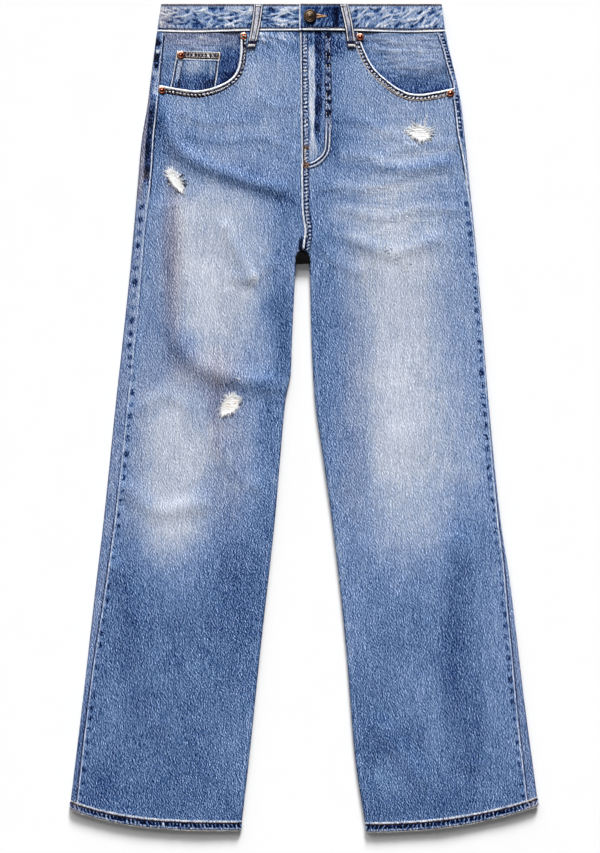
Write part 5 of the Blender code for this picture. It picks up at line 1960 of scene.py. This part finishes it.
def sew_fly():
    """The curved double row of the fly and the bars across its foot."""
    pale, rust = Threads(410), Threads(411)
    curve = curve_through(FLY_CURVE, 10)
    stitch = dict(pitch=3.6, length=2.2, radius=0.38, tone=0.92, vary=0.2, skip=0.5)
    for distance in (-2.1, 2.1):
        sew_along(pale, beside_line(curve, distance), 1.0, **stitch)
    centre = inner_line(LEFT, np.linspace(40, CROTCH - 8, 120), 5.8)
    stitch = dict(pitch=5.0, length=2.2, radius=0.5, tone=0.85, vary=0.3, skip=0.15)
    sew_along(pale, centre, 0.6, **stitch)
    stitch = dict(pitch=1.6, length=1.5, radius=0.5, tone=0.35, vary=0.3)
    for drop in (182.0, 183.5, 185.0, 203.0, 204.5, 206.0, 207.5, 209.0):
        sew_along(rust, level_line(-2.0, 6.5, 8, drop), 0.85, **stitch)
    stitch = dict(pitch=3.0, length=2.4, radius=0.45, tone=0.6, vary=0.3, skip=0.2)
    for k in range(10):
        sew_along(pale, level_line(-1.0, 5.0, 6, 186.5 + k * 1.6), 0.8, **stitch)
    thread = pale.build("thread_fly", THREAD, "denim")
    return [thread, rust.build("thread_fly_bars", RUST, "denim")]


SLIT_LENGTH, SLIT_HALF = 13.0, 1.178


def sew_buttonhole():
    """Rust thread worked close round the slit, whose dark inside is a sheet of painted shade."""
    rust = Threads(420)
    t = np.linspace(0, 1, 46)
    for sign in (-1, 1):
        x = BUTTON_X + 7.5 + SLIT_LENGTH * t
        drop = BUTTON_DROP - sign * SLIT_HALF * np.clip(1 - 1.1 * t, 0.0, 1)
        base, _ = band_surface(LEFT, x, drop)
        start = base + np.array([0, -0.2 * sign, 0.35])
        end = base + stacked(0 * t + 0.15, (1.9 - 1.0 * t) * sign, 0 * t + 0.30)
        rust.add(start, end, UP, 0.36, rust.random.uniform(0.45, 0.9, len(t)))
    thread = rust.build("thread_buttonhole", RUST, "denim")
    share, a = np.linspace(0, 1, 20), np.linspace(-1, 1, 7)[:, None]
    x = BUTTON_X + 7.0 + (SLIT_LENGTH + 0.4) * share
    drop = BUTTON_DROP - a * SLIT_HALF * np.clip(1 - 1.1 * share, 0.05, 1)
    base, faces = band_surface(LEFT, x, drop)
    points = base + (0.30 - 0.1 * (1 - a * a))[..., None] * faces
    return [thread, add_cloth("buttonhole_slit_shade", points, faces, SEAM_WALL, 0.06, 0.5)]


def sew_waist():
    """Rows along the waistband, the loops' bars and the coin pocket."""
    threads, coin = Threads(430), Threads(431)
    for leg, start in ((RIGHT, 7.0), (LEFT, BAND_ENDS["left"] + 4)):
        outs = np.linspace(start, outer_edge(leg, 20.0) - 4, 150)
        for v, tone, lift in ((31.3, 0.25, 0.15), (1.2, 0.2, 0.1)):
            line = stacked(outs, waist_drop(leg, outs, v / WAIST))
            stitch = dict(pitch=3.1, length=2.0, radius=0.36, tone=tone, vary=0.3)
            sew_along(threads, line, lift, band_surface, leg, **stitch)
    for loop in FRONT_LOOPS:
        for drop, surface_at in ((3.0, band_surface), (53.5, front_surface)):
            share = (drop - LOOP_START) / (LOOP_FOOT - LOOP_START)
            middle = loop.top_out + (loop.foot_out - loop.top_out) * share
            line = level_line(middle - 4.6, middle + 4.6, 10, drop)
            points, up = surface_at(loop.leg, line[:, 0], line[:, 1])
            points = points + (0, 0, GAP + TRIM_WALL + 0.4)
            threads.row(points, up, pitch=1.5, length=1.3, radius=0.5, tone=0.65, vary=0.3)
    outs = np.linspace(COIN_TOP[0].out + 3, COIN_TOP[1].out - 10, 40)
    stitch = dict(pitch=3.2, length=2.2, radius=0.4, tone=0.7, vary=0.3)
    for down in (3.2, 8.2):
        line = stacked(outs, profile(outs, COIN_TOP) + down)
        sew_along(coin, line, COIN_LIFT + WALL + 0.45, facing_surface, RIGHT, **stitch)
    thread = threads.build("thread_waist", THREAD, "denim")
    return [thread, coin.build("thread_coin_pocket", THREAD, "denim")]


def sew_hem(leg):
    """The sunk row of the hem, and the fibres that stand out of its two edges."""
    threads = Threads(440 + leg.sign)
    stitch = dict(pitch=3.4, length=2.3, radius=0.42, tone=-0.08)
    for under, lift in ((False, 0.35), (True, -0.1)):
        out, drop = grid(leg, [leg.hem - 9.3], hem_columns(180))
        points, up = surface(leg, out[0, 4:-4], drop[0, 4:-4], under=under)
        threads.row(points + lift * up, up, **stitch)
    fringe = Threads(460 + leg.sign)
    for part, low, high, tone in ((0.2, -2.4, -0.4, 0.62), (11.4, 0.3, 2.2, 0.75)):
        out, drop = grid(leg, [leg.hem - part], hem_columns(150))
        points, up = surface(leg, out[0, 3:-3], drop[0, 3:-3])
        start, count, random = points + 0.3 * up, len(points), fringe.random
        run = [random.normal(0, 0.9, count), random.uniform(low, high, count), np.zeros(count)]
        tones = tone + random.uniform(-0.3, 0.3, count)
        fringe.add(start, start + np.stack(run, axis=-1), up, 0.28, tones)
    thread = threads.build(f"thread_hem_{leg.name}", RUST, "denim")
    return [thread, fringe.build(f"fringe_hem_{leg.name}", THREAD, "denim")]


def sew_back(leg):
    """Double rows round the back pocket and along the yoke and the middle seam of the back."""
    threads = Threads(450 + leg.sign)
    corners = closed(np.array(BACK_POCKET, float))[::-1]
    centroid = corners[:-1].mean(0)
    for inset in (3.0, 8.0):
        line, _ = resample(centroid + (corners - centroid) * (1 - inset / 66), 3.0)
        points = [leg.sign * line[:, 0], LENGTH / 2 - line[:, 1], np.full(len(line), 0.1)]
        up = np.broadcast_to(DOWN, (len(line), 3))
        threads.row(np.stack(points, axis=-1), up, radius=0.32, tone=0.6)
    outs = np.linspace(8, outer_edge(leg, YOKE) - 8, 90)
    drops = np.linspace(YOKE + YOKE_DIP + 8, CROTCH - 10, 80)
    across = across_leg(leg, outs, YOKE)
    lines = [(outs, warp(leg, across, YOKE + below, YOKE_DIP)) for below in (3.0, 8.0)]
    if leg is LEFT:
        lines += [(inner_edge(leg, drops) + beyond, drops) for beyond in (2.5, 7.5)]
    for line in lines:
        points, up = surface(leg, *line, under=True)
        threads.row(points + 0.15 * up, up, radius=0.4, tone=0.6)
    return threads.build(f"thread_back_{leg.name}", THREAD, "denim")


# Build.

SEAM_BREAK = 112.0  # drop at which the side seam's finer strip gives way to the coarser one


def build_leg(leg):
    left = leg is LEFT
    front = add_front(leg)
    trims = [add_mouth(leg), add_inseam(leg), add_hem(leg, False), sew_front(leg), *sew_hem(leg)]
    trims += add_scuffs(leg)
    reach_in, seam_end = 6.4 if left else 3.1, leg.hem - leg.hem_lift - 3
    trims.append(add_side_seam(leg, "top", WAIST + 1.5, SEAM_BREAK, reach_in, step=1.2))
    trims.append(add_side_seam(leg, "leg", SEAM_BREAK, seam_end, reach_in=8.0, step=1.7))
    trims.append(add_puckers(leg, *((38.0, 55.0) if left else (9.0, 61.0))))
    if left:
        trims += [add_fly(), add_fly_curve(), add_centre_seam(), *sew_fly()]
    for rip in rips_of(leg):
        trims += add_rip(rip)
    back, yoke, facing, pocket = add_back(leg), add_yoke(leg), add_facing(leg), add_back_pocket(leg)
    behind = [add_hem(leg, True), sew_back(leg)]
    if left:
        behind.append(add_crotch_shade())


def build_waist():
    coin = add_coin_pocket()
    waist = add_band()
    threads = [*sew_waist(), *sew_buttonhole()]
    for loop in FRONT_LOOPS:
        add_front_loop(loop)
    for name, x in BACK_LOOPS.items():
        add_back_loop(name, x)


def build_metal():
    for name, (leg, out, drop) in RIVETS.items():
        x = leg.sign * out
        add_turned(
            f"rivet_{name}", RIVET_OUTLINE, RIVET_TONES, x, drop, COPPER, "copper",
            sides=40, squash=0.04,
        )
    add_turned(
        "button", BUTTON_OUTLINE, BUTTON_TONES, BUTTON_X, BUTTON_DROP, BRASS, "brass", sides=64
    )


# Floor, light and camera.

CAMERA_LENS = 100.0
CAMERA_SENSOR = 36.0
FIELD_HEIGHT = 1.0918  # how much of the floor the picture spans from top to bottom, in metres
CAMERA_AT = (-0.0054, -0.0109)
FLOOR_HALF = 5.0
FLOOR_DROP = 0.0003  # keeps the floor clear of the cloth that lies on it
WORLD_STRENGTH = 0.08
SUNS = (("key", 8, 21, 15, 5.3), ("fill", -16, 27, 50, 2.15))


def add_floor():
    mesh = bpy.data.meshes.new("floor")
    corners = [(x * FLOOR_HALF, y * FLOOR_HALF, 0) for x, y in ((-1, -1), (1, -1), (1, 1), (-1, 1))]
    mesh.from_pydata(corners, [], [(0, 1, 2, 3)])
    look = Look("studio_floor", Roughness=1.0, Specular_IOR_Level=0.0)
    grain = look.noise((0.02, 0.02, 0.02), detail=3.0)
    colour = look.ramp(grain, ((0.0, (0.93, 0.93, 0.93)), (1.0, (0.95, 0.95, 0.95))))
    seen = look.add("LightPath", {}).outputs
    shown = look.math("MAXIMUM", seen["Is Camera Ray"], seen["Is Glossy Ray"])
    look.put(look.shader.inputs["Base Color"], colour)
    look.put(look.shader.inputs["Emission Color"], (1.0, 1.0, 1.0, 1.0))
    look.put(look.shader.inputs["Emission Strength"], look.times(shown, 0.06))
    mesh.materials.append(look.made)
    obj = bpy.data.objects.new("floor", mesh)
    obj.location = (0, 0, -FLOOR_DROP)
    bpy.context.scene.collection.objects.link(obj)


def add_sun(name, azimuth, elevation, angle, strength):
    """A wide soft light. Azimuth 0 is from the waist and 90 from the garment's left."""
    light = bpy.data.lights.new(name, "SUN")
    light.energy = strength
    light.angle = math.radians(angle)
    obj = bpy.data.objects.new(name, light)
    obj.rotation_euler = (math.radians(90 - elevation), 0, math.radians(180 - azimuth))
    bpy.context.scene.collection.objects.link(obj)


def add_world(strength):
    world = bpy.data.worlds.new("studio")
    bpy.context.scene.world = world
    world.use_nodes = True
    nodes, links = world.node_tree.nodes, world.node_tree.links
    background = nodes["Background"]
    background.inputs["Color"].default_value = (1.0, 1.0, 1.0, 1.0)
    rays = nodes.new("ShaderNodeLightPath")
    level = nodes.new("ShaderNodeMapRange")
    level.inputs["To Min"].default_value = strength
    level.inputs["To Max"].default_value = 1.0
    links.new(rays.outputs["Is Camera Ray"], level.inputs["Value"])
    links.new(level.outputs["Result"], background.inputs["Strength"])


def add_camera():
    data = bpy.data.cameras.new("camera")
    data.lens = CAMERA_LENS
    data.sensor_width = CAMERA_SENSOR
    distance = CAMERA_LENS * FIELD_HEIGHT / CAMERA_SENSOR
    obj = bpy.data.objects.new("camera", data)
    obj.location = (*CAMERA_AT, distance + HIP_TOP * MM)
    bpy.context.scene.collection.objects.link(obj)
    bpy.context.scene.camera = obj


for side in LEGS:
    build_leg(side)
build_waist()
build_metal()
add_floor()
add_world(WORLD_STRENGTH)
for sun in SUNS:
    add_sun(*sun)
add_camera()
bpy.context.scene.view_settings.view_transform = "Standard"
